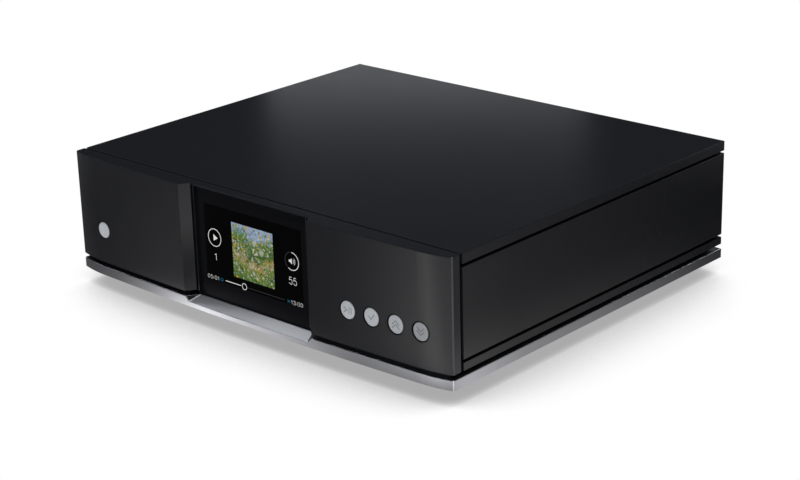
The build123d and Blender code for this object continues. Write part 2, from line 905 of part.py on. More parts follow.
def make_rear_panel():
    """Panel between the side panels, cut out for every connector."""
    x = (panel_side_gap - inner_half, inner_half - panel_side_gap)
    panel = block(x, (rear_inner, rear_face), (floor_high, cover_low))
    y = (rear_inner - overrun, rear_face + overrun)
    inlet_z = floor_high + inlet_height
    gap = panel_side_gap
    cuts = [
        block(
            around(inlet_place, 2 * inlet_body_half + 2 * gap),
            y,
            (inlet_z - inlet_body_low - gap, inlet_z + inlet_body_high + gap),
        ),
        block(
            around(rocker_place, 2 * rocker_body_half + 2 * gap),
            y,
            around(floor_high + rocker_height, 2 * rocker_body_high + 2 * gap),
        ),
        rod_y(earth_stud_radius + fit_clearance, earth_place, floor_high + earth_height, y),
        rod_y(xlr_shell_radius + gap, xlr_place, floor_high + xlr_height, y),
        rod_y(coax_thread_radius + gap, coax_place, floor_high + coax_height, y),
    ]
    for place in aerial_places:
        cuts.append(rod_y(aerial_radius + fit_clearance, place, floor_high + aerial_height, y))
    for place, size in board_sockets():
        cuts.append(block(around(place, size[0] + 2 * gap), y, (board_top - gap, board_top + size[1] + gap)))
    for post_x, post_y in post_places():
        if post_y > 0:
            for z in rear_screw_heights():
                cuts.append(rod_y(screw_radius + screw_clearance, post_x, z, y))
    for screw_x, screw_z in inlet_screws_at() + plug_screws_at():
        cuts.append(rod_y(screw_radius + fit_clearance, screw_x, screw_z, y))
    save("rear_panel", panel - cuts)


def inlet_screws_at():
    """Places of the two screws of the mains inlet."""
    return [(inlet_place + side * inlet_screw_side, floor_high + inlet_height) for side in (-1, 1)]


def plug_screws_at():
    """Places of the two screws of the digital plug, across two corners of its flange."""
    z = floor_high + xlr_height
    return [(xlr_place + side * xlr_screw_side, z + side * xlr_screw_high) for side in (-1, 1)]


board_low = floor_high + pillar_height
board_top = board_low + board_thick


def board_sockets():
    """Place and size of every socket that stands on the main board and shows through the rear panel."""
    sockets = [(ethernet_place, ethernet_size)]
    sockets += [(place, usb_size) for place in usb_places]
    return sockets + [(link_place, link_size), (optical_place, optical_size)]


def make_inlet():
    """Mains inlet with its contact blades, and the fuse drawer below the socket."""
    x = inlet_place
    z = floor_high + inlet_height
    flange_y = (rear_face, rear_face + inlet_flange_thick)
    flange = block(around(x, 2 * inlet_flange_half), flange_y, (z - inlet_flange_low, z + inlet_flange_high))
    flange = fillet(flange.edges().filter_by(Axis.Y), inlet_flange_round)
    mouth = flange_y[1]
    body_y = (mouth - inlet_body_deep, mouth)
    body = block(around(x, 2 * inlet_body_half), body_y, (z - inlet_body_low, z + inlet_body_high))
    cavity_y = (mouth - inlet_cavity_deep, mouth + overrun)
    cavity_z = (z - inlet_cavity_low, z + inlet_cavity_high)
    cavity = block(around(x, 2 * inlet_cavity_half), cavity_y, cavity_z)
    upper = [edge for edge in cavity.edges().filter_by(Axis.Y) if edge.center().Z > z]
    cavity = chamfer(upper, inlet_corner)
    pocket_z = around(z - drawer_centre, drawer_high + 2 * drawer_clearance)
    pocket_x = around(x, 2 * drawer_half_width + 2 * drawer_clearance)
    pocket = block(pocket_x, (mouth - drawer_deep - drawer_clearance, mouth + overrun), pocket_z)
    hole_y = (rear_face - overrun, mouth + overrun)
    holes = [rod_y(screw_radius + screw_clearance, a, b, hole_y) for a, b in inlet_screws_at()]
    slot_y = (body_y[0] - overrun, mouth - inlet_cavity_deep + overrun)
    wide, _, high = inlet_pin_size
    slots = [block(around(a, wide), slot_y, around(b, high)) for a, b in blade_spots()]
    save("mains_inlet", flange + body - cavity - pocket - holes - slots)
    make_fuse_drawer(x, z - drawer_centre, mouth)


def blade_spots():
    """Places of the three blades of the mains inlet."""
    z = floor_high + inlet_height
    pair = [(inlet_place + side * inlet_pin_side, z + inlet_pin_low) for side in (-1, 1)]
    return pair + [(inlet_place, z + inlet_pin_high)]


def make_connector_pins():
    """Blades of the mains inlet, tabs of the mains switch and pins of the digital plug."""
    pins = []
    mouth = rear_face + inlet_flange_thick
    back = mouth - inlet_body_deep
    blade_y = (back, mouth - inlet_cavity_deep + inlet_pin_size[1])
    for x, z in blade_spots():
        place_z = around(z, inlet_pin_size[2])
        blade = block(around(x, inlet_pin_size[0]), blade_y, place_z)
        pins.append(blade + block(around(x, inlet_tab_thick), (back - inlet_tab_length, back), place_z))
    back = rear_face + rocker_frame_thick - rocker_body_deep
    tab_y = (back - inlet_tab_length, back)
    for x, z in switch_tab_spots():
        pins.append(block(around(x, inlet_tab_thick), tab_y, around(z, rocker_tab_high)))
    mouth = rear_face + xlr_flange[2]
    pin_y = (mouth - xlr_shell_deep - xlr_tail_length, mouth - xlr_cavity_deep + xlr_pin_length)
    pins += [rod_y(xlr_pin_radius, x, z, pin_y) for x, z in plug_pin_spots()]
    save("connector_pins", *pins)


def switch_tab_spots():
    """Places of the two tabs behind the mains switch."""
    return [(rocker_place + shift, floor_high + rocker_height) for shift in rocker_tabs]


def plug_pin_spots():
    """Places of the three pins of the digital plug."""
    turns = [math.radians(turn) for turn in (0, 180, 270)]
    z = floor_high + xlr_height
    return [(xlr_place + xlr_pin_circle * math.cos(a), z + xlr_pin_circle * math.sin(a)) for a in turns]


def make_fuse_drawer(x, z, mouth):
    """Small drawer that slides out to the rear, with the fuse lying across it."""
    outer = block(around(x, 2 * drawer_half_width), (mouth - drawer_deep, mouth), around(z, drawer_high))
    hollow_y = (mouth - drawer_deep + drawer_wall, mouth - drawer_front_thick)
    hollow_z = (z - drawer_high / 2 + drawer_wall, z + drawer_high / 2 + overrun)
    hollow = block(around(x, 2 * drawer_half_width - 2 * drawer_wall), hollow_y, hollow_z)
    grip = block(
        around(x, drawer_half_width), (mouth - drawer_grip_deep, mouth + overrun), around(z, drawer_grip_high)
    )
    save("fuse_drawer", outer - hollow - grip)
    middle_y = (hollow_y[0] + hollow_y[1]) / 2
    fuse_z = hollow_z[0] + fuse_radius + fit_clearance
    glass = rod_x(fuse_glass_radius, middle_y, fuse_z, around(x, fuse_length))
    for side in (-1, 1):
        end = x + side * fuse_length / 2
        glass = glass + rod_x(fuse_radius, middle_y, fuse_z, (end - side * fuse_cap_length, end))
    save("mains_fuse", glass)


def make_rocker():
    """Mains switch: a frame in the rear panel and a rocker that tips on two pins."""
    x = rocker_place
    z = floor_high + rocker_height
    front = rear_face + rocker_frame_thick
    frame = block(around(x, 2 * rocker_frame_half), (rear_face, front), around(z, 2 * rocker_frame_high))
    frame = fillet(frame.edges().filter_by(Axis.Y), rocker_frame_round)
    body_y = (front - rocker_body_deep, front)
    body = block(around(x, 2 * rocker_body_half), body_y, around(z, 2 * rocker_body_high))
    space_half = rocker_body_half - rocker_wall
    space = block(
        around(x, 2 * space_half),
        (body_y[0] + rocker_wall, front + overrun),
        around(z, 2 * (rocker_radius + rocker_gap)),
    )
    axis_y = rear_face - rocker_axis_in
    reach = space_half + rocker_pin_length
    bearing = rod_x(rocker_pin_radius + fit_clearance, axis_y, z, around(x, 2 * reach + 2 * fit_clearance))
    save("switch_frame", frame + body - space - bearing)
    width = 2 * (space_half - rocker_gap)
    drum = rod_x(rocker_radius, axis_y, z, around(x, width))
    side = 2 * rocker_radius
    top = axis_y + rocker_crest
    wide = around(x, 2 * width)
    drum = drum - block(wide, (top, top + side), around(z, 2 * side))
    drum = drum - block(wide, (axis_y - rocker_skirt - side, axis_y - rocker_skirt), around(z, 2 * side))
    slope = Pos(0, side / 2, -side) * Box(2 * width, side, 2 * side)
    drum = drum - Pos(x, top, z) * Rot(-rocker_slope, 0, 0) * slope
    pins = rod_x(rocker_pin_radius, axis_y, z, around(x, 2 * reach))
    save("mains_rocker", drum + pins)


def make_earth_post():
    """Earth stud with its flange and nut, and the fluted knob that screws along it."""
    x = earth_place
    z = floor_high + earth_height
    stud = rod_y(earth_stud_radius, x, z, (rear_inner - earth_stud_in, rear_face + post_reach))
    flange = rod_y(earth_flange_radius, x, z, (rear_face, rear_face + earth_flange_thick))
    nut = hexagon_y(earth_nut_radius, x, z, (rear_inner - earth_nut_thick, rear_inner))
    save("earth_post", stud + flange + nut)
    knob_y = rear_face + earth_flange_thick + knob_seat_gap
    knob = rod_y(knob_radius, x, z, (knob_y, knob_y + knob_length))
    knob = chamfer(knob.faces().sort_by(Axis.Y)[-1].edges(), knob_break)
    through = (knob_y - overrun, knob_y + knob_length + overrun)
    cuts = [rod_y(earth_stud_radius + fit_clearance, x, z, through)]
    for i in range(knob_flutes):
        turn = math.radians(360 / knob_flutes * i)
        flute_x = x + knob_radius * math.cos(turn)
        flute_z = z + knob_radius * math.sin(turn)
        cuts.append(rod_y(knob_flute_radius, flute_x, flute_z, through))
    save("earth_knob", knob - cuts)


def socket_box(place, size):
    """Outer box of a socket that stands on the main board."""
    y = (rear_face + socket_proud - size[2], rear_face + socket_proud)
    return block(around(place, size[0]), y, (board_top, board_top + size[1]))


def mouth_box(place, mouth, centre_z):
    """Space of a socket's mouth, open to the rear."""
    outer = rear_face + socket_proud
    return block(around(place, mouth[0]), (outer - mouth[2], outer + overrun), around(centre_z, mouth[1]))


def make_board_sockets():
    """Network, USB and link sockets."""
    outer = rear_face + socket_proud
    centre = board_top + ethernet_mouth_lift + ethernet_mouth[1] / 2
    shell = socket_box(ethernet_place, ethernet_size) - mouth_box(ethernet_place, ethernet_mouth, centre)
    latch_z = (centre - ethernet_mouth[1] / 2 - ethernet_latch[1], centre)
    latch_y = (outer - ethernet_mouth[2], outer + overrun)
    shell = shell - block(around(ethernet_place, ethernet_latch[0]), latch_y, latch_z)
    save("ethernet_socket", shell)
    shells = []
    for place in usb_places:
        centre = board_top + usb_size[1] / 2
        shell = socket_box(place, usb_size) - mouth_box(place, usb_mouth, centre)
        tongue_y = (outer - usb_mouth[2], outer - usb_mouth[2] + usb_tongue[2])
        tongue_z = around(centre + usb_tongue_rise, usb_tongue[1])
        shells.append(shell + block(around(place, usb_tongue[0]), tongue_y, tongue_z))
    save("usb_sockets", *shells)
    centre = board_top + link_size[1] / 2
    mouth = mouth_box(link_place, link_mouth, centre)
    lower = [edge for edge in mouth.edges().filter_by(Axis.Y) if edge.center().Z < centre]
    shell = socket_box(link_place, link_size) - chamfer(lower, link_corner)
    tongue_y = (outer - link_mouth[2], outer - link_mouth[2] + link_tongue[2])
    tongue = block(around(link_place, link_tongue[0]), tongue_y, around(centre, link_tongue[1]))
    save("link_socket", shell + tongue)


def make_optical():
    """Optical socket and the sprung shutter that closes its mouth."""
    outer = rear_face + socket_proud
    centre = board_top + optical_mouth_lift + optical_mouth[1] / 2
    mouth = mouth_box(optical_place, optical_mouth, centre)
    high = centre + optical_mouth[1] / 2
    axis_z = high - shutter_pin_radius - shutter_gap
    axis_y = outer - shutter_sink - shutter_pin_radius
    reach = optical_mouth[0] / 2 + shutter_pin_length
    bearing = rod_x(shutter_pin_radius + fit_clearance, axis_y, axis_z, around(optical_place, 2 * reach))
    save("optical_socket", socket_box(optical_place, optical_size) - mouth - bearing)
    flap_x = around(optical_place, optical_mouth[0] - 2 * shutter_gap)
    flap_y = around(axis_y, shutter_thick)
    flap = block(flap_x, flap_y, (centre - optical_mouth[1] / 2 + shutter_gap, axis_z))
    pin_x = around(optical_place, 2 * reach - 2 * fit_clearance)
    save("optical_shutter", flap + rod_x(shutter_pin_radius, axis_y, axis_z, pin_x))


def make_xlr():
    """Panel plug in a round shell on a square flange."""
    x = xlr_place
    z = floor_high + xlr_height
    flange_y = (rear_face, rear_face + xlr_flange[2])
    flange = block(around(x, xlr_flange[0]), flange_y, around(z, xlr_flange[1]))
    flange = fillet(flange.edges().filter_by(Axis.Y), xlr_flange_round)
    mouth = flange_y[1]
    shell = rod_y(xlr_shell_radius, x, z, (mouth - xlr_shell_deep, mouth))
    cavity = rod_y(xlr_cavity_radius, x, z, (mouth - xlr_cavity_deep, mouth + overrun))
    hole_y = (rear_face - overrun, mouth + overrun)
    cuts = [rod_y(screw_radius + screw_clearance, a, b, hole_y) for a, b in plug_screws_at()]
    pin_y = (mouth - xlr_shell_deep - overrun, mouth - xlr_cavity_deep + overrun)
    cuts += [rod_y(xlr_pin_radius + fit_clearance, a, b, pin_y) for a, b in plug_pin_spots()]
    save("digital_plug", flange + shell - cavity - cuts)


def make_coax_jack():
    """Coaxial jack with its nut and the bore of its centre contact."""
    x = coax_place
    z = floor_high + coax_height
    tip = rear_face + coax_reach
    barrel = rod_y(coax_barrel_radius, x, z, (rear_face, tip))
    barrel = chamfer(barrel.faces().sort_by(Axis.Y)[-1].edges(), edge_break)
    base = hexagon_y(coax_hex_radius, x, z, (rear_face, rear_face + coax_hex_thick))
    thread = rod_y(coax_thread_radius, x, z, (rear_inner - coax_thread_in, rear_face))
    nut = hexagon_y(coax_hex_radius, x, z, (rear_inner - coax_nut_thick, rear_inner))
    contact = rod_y(coax_pin_bore, x, z, (tip - coax_pin_deep, tip + overrun))
    sink = rod_y(coax_bore_radius, x, z, (tip - coax_core_sink, tip + overrun))
    save("coax_jack", barrel + base + thread + nut - contact - sink)


def make_aerial_jacks():
    """Threaded aerial jacks with a hexagon outside and a nut inside the rear panel."""
    z = floor_high + aerial_height
    jacks = []
    for x in aerial_places:
        tip = rear_face + aerial_reach
        barrel = rod_y(aerial_radius, x, z, (rear_inner - aerial_thread_in, tip))
        base = hexagon_y(aerial_hex_radius, x, z, (rear_face, rear_face + aerial_hex_thick))
        nut = hexagon_y(aerial_hex_radius, x, z, (rear_inner - aerial_nut_thick, rear_inner))
        bore = rod_y(aerial_bore_radius, x, z, (tip - aerial_bore_deep, tip + overrun))
        jacks.append(barrel + base + nut - bore)
    save("aerial_jacks", *jacks)


def corner_spots(x, y, margin):
    """Four places inside the corners of a board."""
    return [(a, b) for a in (x[0] + margin, x[1] - margin) for b in (y[0] + margin, y[1] - margin)]


def main_board_limits():
    """X and Y limits of the main board, which ends just inside the rear panel."""
    return (main_board_left, main_board_right), (cover_front + main_board_front, rear_inner - face_clearance)


def power_board_limits():
    """X and Y limits of the power board."""
    return (power_board_left, power_board_right), (power_board_front, power_board_rear)


def floor_pillars():
    """Places of the pillars on the chassis base."""
    return corner_spots(*main_board_limits(), edge_margin) + corner_spots(*power_board_limits(), edge_margin)


def make_boards():
    """Main and power boards with their pillars."""
    tall = (board_low - overrun, board_top + overrun)
    holes = [rod_z(screw_radius + screw_clearance, x, y, tall) for x, y in floor_pillars()]
    save("main_board", block(*main_board_limits(), (board_low, board_top)) - holes + ribbon_header())
    save("power_board", block(*power_board_limits(), (board_low, board_top)) - holes + terminal_blocks())
    pillars = []
    for x, y in floor_pillars():
        bore = rod_z(screw_radius + fit_clearance, x, y, (floor_high - overrun, board_low + overrun))
        pillars.append(rod_z(pillar_radius, x, y, (floor_high, board_low)) - bore)
    save("board_pillars", *pillars)


def make_machine_screws():
    """Equal pan-head screws: boards, front panel, carrier plate, rear panel, inlet and plug."""
    screws = [machine_screw(x, y, board_top, Rot(0, 0, 0)) for x, y in floor_pillars()]
    to_rear = Rot(-90, 0, 0)
    for x, z, length in board_bosses():
        screws.append(machine_screw(x, cover_front + length + board_thick, z, to_rear))
    for x, z in front_screws_at():
        screws.append(machine_screw(x, cover_front, z, to_rear))
    for x, z in carrier_screws_at():
        screws.append(machine_screw(x, panel_rear, z, Rot(90, 0, 0)))
    for x, y in post_places():
        if y > 0:
            screws += [machine_screw(x, rear_face, z, to_rear) for z in rear_screw_heights()]
    screws += [machine_screw(x, rear_face + inlet_flange_thick, z, to_rear) for x, z in inlet_screws_at()]
    screws += [machine_screw(x, rear_face + xlr_flange[2], z, to_rear) for x, z in plug_screws_at()]
    save("machine_screws", *screws)


def machine_screw(x, y, z, turn):
    """Pan-head screw with a cross recess; its head seat is at the place given."""
    head = rod_z(screw_head_radius, 0, 0, (0, screw_head_high))
    shank = rod_z(screw_radius, 0, 0, (-screw_length, 0))
    deep = (screw_head_high * recess_share, screw_head_high + overrun)
    cross = block(around(0, screw_cross), around(0, 2 * screw_radius), deep)
    cross = cross + block(around(0, 2 * screw_radius), around(0, screw_cross), deep)
    return Pos(x, y, z) * turn * (head + shank - cross)


def ribbon_header():
    """Connector on the main board that takes the ribbon cable."""
    y = cover_front + main_board_front + ribbon_end_lead
    low = board_top
    outer_y = around(y, ribbon_plug[1])
    outer = block(around(ribbon_shift, ribbon_plug[0]), outer_y, (low, low + ribbon_plug[2]))
    slot = block(
        around(ribbon_shift, ribbon_width + 2 * fit_clearance),
        around(y, ribbon_thick + 2 * fit_clearance),
        (low + ribbon_plug[2] * recess_share, low + ribbon_plug[2] + overrun),
    )
    return outer - slot


def terminal_blocks():
    """Terminal blocks on the power board where the wires from the inlet and the switch end."""
    y = terminal_row
    top = board_top + terminal_high
    blocks = Part()
    for spots in (blade_spots(), switch_tab_spots()):
        places = [x for x, _ in spots]
        x = (min(places) - terminal_margin, max(places) + terminal_margin)
        blocks = blocks + block(x, around(y, terminal_deep), (board_top, top))
        for place in places:
            deep = (top - terminal_high * recess_share, top + overrun)
            blocks = blocks - rod_z(wire_radius + fit_clearance, place, y, deep)
    return blocks


def on_main_board(shares):
    """Place on the main board at the given shares of its width and depth."""
    _, (front, rear) = main_board_limits()
    return across_main_board(shares[0]), front + (rear - front) * shares[1]


def make_board_parts():
    """Processor heat sink, shield cans and capacitors."""
    x, y = on_main_board(processor_shares)
    wide, long, high = processor_size
    chip_z = (board_top, board_top + high)
    make_power_chips(block(around(x, wide), around(y, long), chip_z))
    sink_z = (chip_z[1], chip_z[1] + heatsink_base)
    sink = block(around(x, heatsink_size[0]), around(y, heatsink_size[1]), sink_z)
    step = (heatsink_size[0] - fin_thick) / (fin_count - 1)
    for i in range(fin_count):
        fin_x = x - heatsink_size[0] / 2 + fin_thick / 2 + i * step
        fin_z = (sink_z[0], sink_z[1] + fin_height)
        sink = sink + block(around(fin_x, fin_thick), around(y, heatsink_size[1]), fin_z)
    save("processor_heatsink", sink)
    cans = []
    for shares, (can_w, can_l, can_h) in zip(can_shares, can_sizes):
        can_x, can_y = on_main_board(shares)
        can = block(around(can_x, can_w), around(can_y, can_l), (board_top, board_top + can_h))
        cans.append(fillet(can.edges().filter_by(Axis.Z), can_round))
    save("shield_cans", *cans)
    capacitors = []
    space = power_board_right - power_board_left - capacitor_margin
    for i in range(int(space / capacitor_pitch)):
        can_x = power_board_left + capacitor_margin + i * capacitor_pitch
        can_y = capacitor_row
        can = rod_z(capacitor_radius, can_x, can_y, (board_top, board_top + capacitor_high))
        can = chamfer(can.faces().sort_by(Axis.Z)[-1].edges(), capacitor_crimp)
        neck_z = around(board_top + capacitor_crimp_high, capacitor_crimp_wide)
        neck = rod_z(capacitor_radius + overrun, can_x, can_y, neck_z)
        core_z = (board_low, board_top + capacitor_high)
        neck = neck - rod_z(capacitor_radius - capacitor_crimp, can_x, can_y, core_z)
        capacitors.append(can - neck)
    save("filter_capacitors", *capacitors)


def make_power_chips(processor):
    """Finned heat sink on the power board, the regulators against its flat side, and the processor."""
    y = regulator_row
    left = power_board_left + regulator_sink_margins[0]
    wide = power_board_right - regulator_sink_margins[1] - left
    x = left + wide / 2
    deep = regulator_sink_deep
    sink_z = (board_top, board_top + regulator_sink_high)
    back_y = (y - deep / 2, y + deep / 2 - regulator_fin_deep)
    sink = block(around(x, wide), back_y, sink_z)
    step = (wide - regulator_fin_thick) / (regulator_fin_count - 1)
    for i in range(regulator_fin_count):
        fin_x = x - wide / 2 + regulator_fin_thick / 2 + i * step
        sink = sink + block(around(fin_x, regulator_fin_thick), (back_y[0], y + deep / 2), sink_z)
    save("regulator_heatsink", sink)
    chips = [processor]
    for i in range(regulator_count):
        body_x = x + (i - (regulator_count - 1) / 2) * regulator_pitch
        wide_r, deep_r, high_r = regulator_size
        low = board_top + regulator_lift
        body = block(around(body_x, wide_r), (back_y[0] - deep_r, back_y[0]), (low, low + high_r))
        leg_y = around(back_y[0] - deep_r / 2, regulator_leg_thick)
        legs = block(around(body_x, wide_r - 2 * regulator_leg_inset), leg_y, (board_top, low))
        chips.append(body + legs)
    save("chip_packages", *chips)


def make_partition():
    """Screening wall between the power side and the digital side."""
    y = (cover_front + partition_front, rear_inner)
    wall_z = (floor_high, cover_low - partition_head_room)
    wall = block(around(partition_place, partition_thick), y, wall_z)
    flange_x = (partition_place - partition_flange + partition_thick / 2, partition_place)
    save("partition_wall", wall + block(flange_x, y, (floor_high, floor_high + partition_thick)))


def make_transformers():
    """Toroidal transformers on pads, each clamped by a plate and a bolt."""
    toroids = []
    pads = []
    clamps = []
    bolts = []
    for x, y in toroid_places():
        low = floor_high + toroid_pad_thick
        high = low + toroid_high
        ring = rod_z(toroid_radius, x, y, (low, high))
        ring = ring - rod_z(toroid_hole, x, y, (low - overrun, high + overrun))
        toroids.append(fillet(ring.edges().filter_by(GeomType.CIRCLE), toroid_round))
        clamp_low = high + toroid_pad_thick
        for pad_low in (floor_high, high):
            pad_z = (pad_low, pad_low + toroid_pad_thick)
            pad = rod_z(clamp_radius, x, y, pad_z)
            pads.append(pad - rod_z(toroid_hole, x, y, (pad_z[0] - overrun, pad_z[1] + overrun)))
        plate_z = (clamp_low, clamp_low + clamp_thick)
        plate = rod_z(clamp_radius, x, y, plate_z)
        bore_z = (plate_z[0] - overrun, plate_z[1] + overrun)
        clamps.append(plate - rod_z(clamp_bolt_radius + fit_clearance, x, y, bore_z))
        head = rod_z(clamp_head_radius, x, y, (plate_z[1], plate_z[1] + clamp_head_high))
        bolts.append(head + rod_z(clamp_bolt_radius, x, y, (panel_low, plate_z[1])))
    save("toroid_transformers", *toroids)
    save("transformer_pads", *pads)
    save("transformer_clamps", *clamps)
    save("transformer_bolts", *bolts)


def make_cables():
    """Ribbon cable to the display and the wires from inlet and switch to the power board."""
    start_y = cover_front + display_board_boss + board_thick + ribbon_plug[1] * recess_share
    start_z = panel_low + display_board_low + ribbon_start_rise
    end_y = cover_front + main_board_front + ribbon_end_lead
    end_z = board_top + ribbon_plug[2] * recess_share
    path = FilletPolyline(
        (ribbon_shift, start_y, start_z),
        (ribbon_shift, end_y, start_z),
        (ribbon_shift, end_y, end_z),
        radius=ribbon_bend,
    )
    plane = Plane(origin=(ribbon_shift, start_y, start_z), x_dir=(1, 0, 0), z_dir=(0, 1, 0))
    save("ribbon_cable", sweep(plane * Rectangle(ribbon_width, ribbon_thick), path=path))
    inlet_back = rear_face + inlet_flange_thick - inlet_body_deep - inlet_tab_length
    switch_back = rear_face + rocker_frame_thick - rocker_body_deep - inlet_tab_length
    wires = [mains_wire(x, inlet_back, z) for x, z in blade_spots()]
    wires += [mains_wire(x, switch_back, z) for x, z in switch_tab_spots()]
    save("mains_wires", *wires)


def mains_wire(x, start, z):
    """Wire from the tip of a tab, forward and down into the terminal block."""
    y = terminal_row
    low = board_top + terminal_high * (1 - recess_share)
    path = FilletPolyline((x, start, z), (x, y, z), (x, y, low), radius=wire_bend)
    section = Plane(origin=(x, start, z), z_dir=(0, -1, 0)) * Circle(wire_radius)
    return sweep(section, path=path)


def make_feet():
    """Turned feet with a rubber pad in the sole and a screw up into the base plate."""
    feet = []
    pads = []
    screws = []
    sole = foot_pad_proud
    recess = foot_pad_thick
    for x, y in foot_places():
        foot = rod_z(foot_radius, x, y, (sole, foot_height))
        foot = chamfer(foot.faces().sort_by(Axis.Z)[0].edges(), foot_taper)
        head_z = (recess, recess + foot_screw_head_high + face_clearance)
        foot = foot - rod_z(foot_pad_radius + fit_clearance, x, y, (sole - overrun, recess))
        foot = foot - rod_z(foot_screw_head_radius + screw_clearance, x, y, (recess - overrun, head_z[1]))
        foot = foot - rod_z(foot_screw_radius + screw_clearance, x, y, (recess, foot_height + overrun))
        feet.append(foot)
        pad = rod_z(foot_pad_radius, x, y, (0, foot_pad_thick))
        pads.append(chamfer(pad.faces().sort_by(Axis.Z)[0].edges(), edge_break))
        head = rod_z(foot_screw_head_radius, x, y, (head_z[0] + face_clearance, head_z[1]))
        shank = rod_z(foot_screw_radius, x, y, (head_z[1], foot_height + foot_screw_deep))
        screws.append(head + shank)
    save("feet", *feet)
    save("foot_pads", *pads)
    save("foot_screws", *screws)


make_base_plate()
make_plinth()
make_chassis_base()
make_side_strips()
make_side_panels()
make_cover()
make_front_panel()
make_front_carrier()
make_display()
make_buttons()
make_key_boards()
make_posts()
make_rear_panel()
make_inlet()
make_connector_pins()
make_rocker()
make_earth_post()
make_board_sockets()
make_optical()
make_xlr()
make_coax_jack()
make_aerial_jacks()
make_boards()
make_board_parts()
make_partition()
make_transformers()
make_cables()
make_machine_screws()
make_feet()
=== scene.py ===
"""Finishes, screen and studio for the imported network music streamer."""
import math

import bpy
from mathutils import Matrix, Vector


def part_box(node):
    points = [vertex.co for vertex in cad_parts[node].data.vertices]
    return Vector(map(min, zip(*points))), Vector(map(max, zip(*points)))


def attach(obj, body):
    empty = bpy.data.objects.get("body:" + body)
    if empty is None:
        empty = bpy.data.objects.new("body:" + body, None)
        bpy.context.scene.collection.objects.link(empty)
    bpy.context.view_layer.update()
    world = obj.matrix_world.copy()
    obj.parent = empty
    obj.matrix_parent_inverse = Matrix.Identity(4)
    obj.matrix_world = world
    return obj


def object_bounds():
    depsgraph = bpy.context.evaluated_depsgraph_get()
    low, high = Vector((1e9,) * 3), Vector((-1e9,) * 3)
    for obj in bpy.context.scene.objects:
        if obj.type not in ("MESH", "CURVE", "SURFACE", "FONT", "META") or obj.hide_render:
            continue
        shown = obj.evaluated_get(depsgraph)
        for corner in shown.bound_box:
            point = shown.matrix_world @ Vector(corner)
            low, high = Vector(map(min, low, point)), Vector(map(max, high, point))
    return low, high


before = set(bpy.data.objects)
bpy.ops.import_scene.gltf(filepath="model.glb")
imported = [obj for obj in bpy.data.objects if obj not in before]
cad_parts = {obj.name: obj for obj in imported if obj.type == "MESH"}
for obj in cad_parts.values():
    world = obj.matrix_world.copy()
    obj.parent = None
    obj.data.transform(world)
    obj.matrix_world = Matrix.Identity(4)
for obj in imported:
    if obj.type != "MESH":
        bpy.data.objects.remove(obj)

bl_info = {
    "name": "Network music streamer dressing",
    "version": (1, 0, 0),
    "blender": (4, 5, 0),
    "location": "3D View > Sidebar > Streamer",
    "description": "Finishes, lit screen and studio for the packed network music streamer",
    "category": "Object",
}

mm = 0.001
case_box = [list(corner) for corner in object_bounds()]
glass_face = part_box("display_glass")[0].y
module_low, module_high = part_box("screen_module")
cover_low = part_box("top_cover")[0]
panel_low, panel_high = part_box("front_panel")
plate_low, plate_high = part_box("base_plate")
screen_foot = module_low.z

BUTTONS = ("power_button", "play_button", "confirm_button", "up_button", "down_button")
# Painted shade: share of its silver each button keeps, darker along the row to the right as if the light fell
# off there.
BUTTON_PAINTED_SHADE = {"confirm_button": 0.95, "up_button": 0.86, "down_button": 0.62}
# Buttons: lip behind the panel, ring of painted shade round it, engraved depth, start of the stem painted in
# shade, rim with a painted highlight.
FLANGE_LIP, SHADE_RING_EDGE = 0.8 * mm, (0.7 * mm, 0.95 * mm)
ENGRAVING, STEM_FROM, RIM_EDGE = (0.12 * mm, 0.27 * mm), 0.34 * mm, (0.5 * mm, 0.3 * mm)
# Depth of the front's bow, and how far the painted highlight line on the upright edges reaches from its ends.
BOW_RISE = 6.98 * mm
EDGE_NARROW, EDGE_WIDE = 0.45 * mm, 0.75 * mm
# Ramp of the base plate, and the leaning walls at both of its ends.
RAMP_HALF, RAMP_RUN, RAMP_LIP, RAMP_DROP = 56.5 * mm, 9 * mm, 0.82 * mm, 3.2 * mm
WALL_FOOT, WALL_HEAD, WALL_SLANT = 55.6 * mm, 58.2 * mm, 0.405
SKIN = 0.05 * mm


def linear(code):
    """Linear colour of a web colour code."""
    parts = [int(code[i : i + 2], 16) / 255 for i in (1, 3, 5)]
    return tuple(part / 12.92 if part <= 0.04045 else ((part + 0.055) / 1.055) ** 2.4 for part in parts)


def opaque(colour):
    """Colour with a full alpha."""
    return (*colour, 1.0)


def colour_property(name, description, code):
    """Property for one colour of a finish."""
    return bpy.props.FloatVectorProperty(
        name=name, description=description, default=linear(code), subtype="COLOR", size=3, min=0, max=1
    )


def length_property(name, description, size):
    """Property for one length in metres."""
    return bpy.props.FloatProperty(name=name, description=description, default=size, unit="LENGTH", min=0)


def angle_property(name, description, degrees):
    """Property for one angle."""
    return bpy.props.FloatProperty(
        name=name, description=description, default=math.radians(degrees), subtype="ANGLE", unit="ROTATION"
    )


def level_property(name, description):
    """Property for a share of full strength."""
    return bpy.props.FloatProperty(name=name, description=description, default=1.0, min=0)


class FinishSettings(bpy.types.PropertyGroup):
    """Colours of the finishes that show."""

    case_black: colour_property("Case black", "Anodised black of the case", "#1f1f22")
    case_gloss: bpy.props.FloatProperty(
        name="Case roughness", description="Roughness of the black case", default=0.22,
        subtype="FACTOR", min=0, max=1,
    )
    plate_silver: colour_property("Plate silver", "Brushed silver of the base plate", "#9e9ea2")
    button_silver: colour_property("Button silver", "Spun silver of the buttons", "#f6f6f8")
    glass_black: colour_property("Glass black", "Printed edge of the display glass", "#19191c")
    field_black: colour_property("Screen black", "Unlit screen behind the glass", "#0a0a0a")
    lit_white: colour_property("Lit white", "White of the lit signs", "#e4e4e2")
    lit_dim: colour_property("Lit grey", "Grey of the dimmed signs", "#3a3a3c")
    lit_blue: colour_property("Lit blue", "Blue of the small marks", "#17627e")


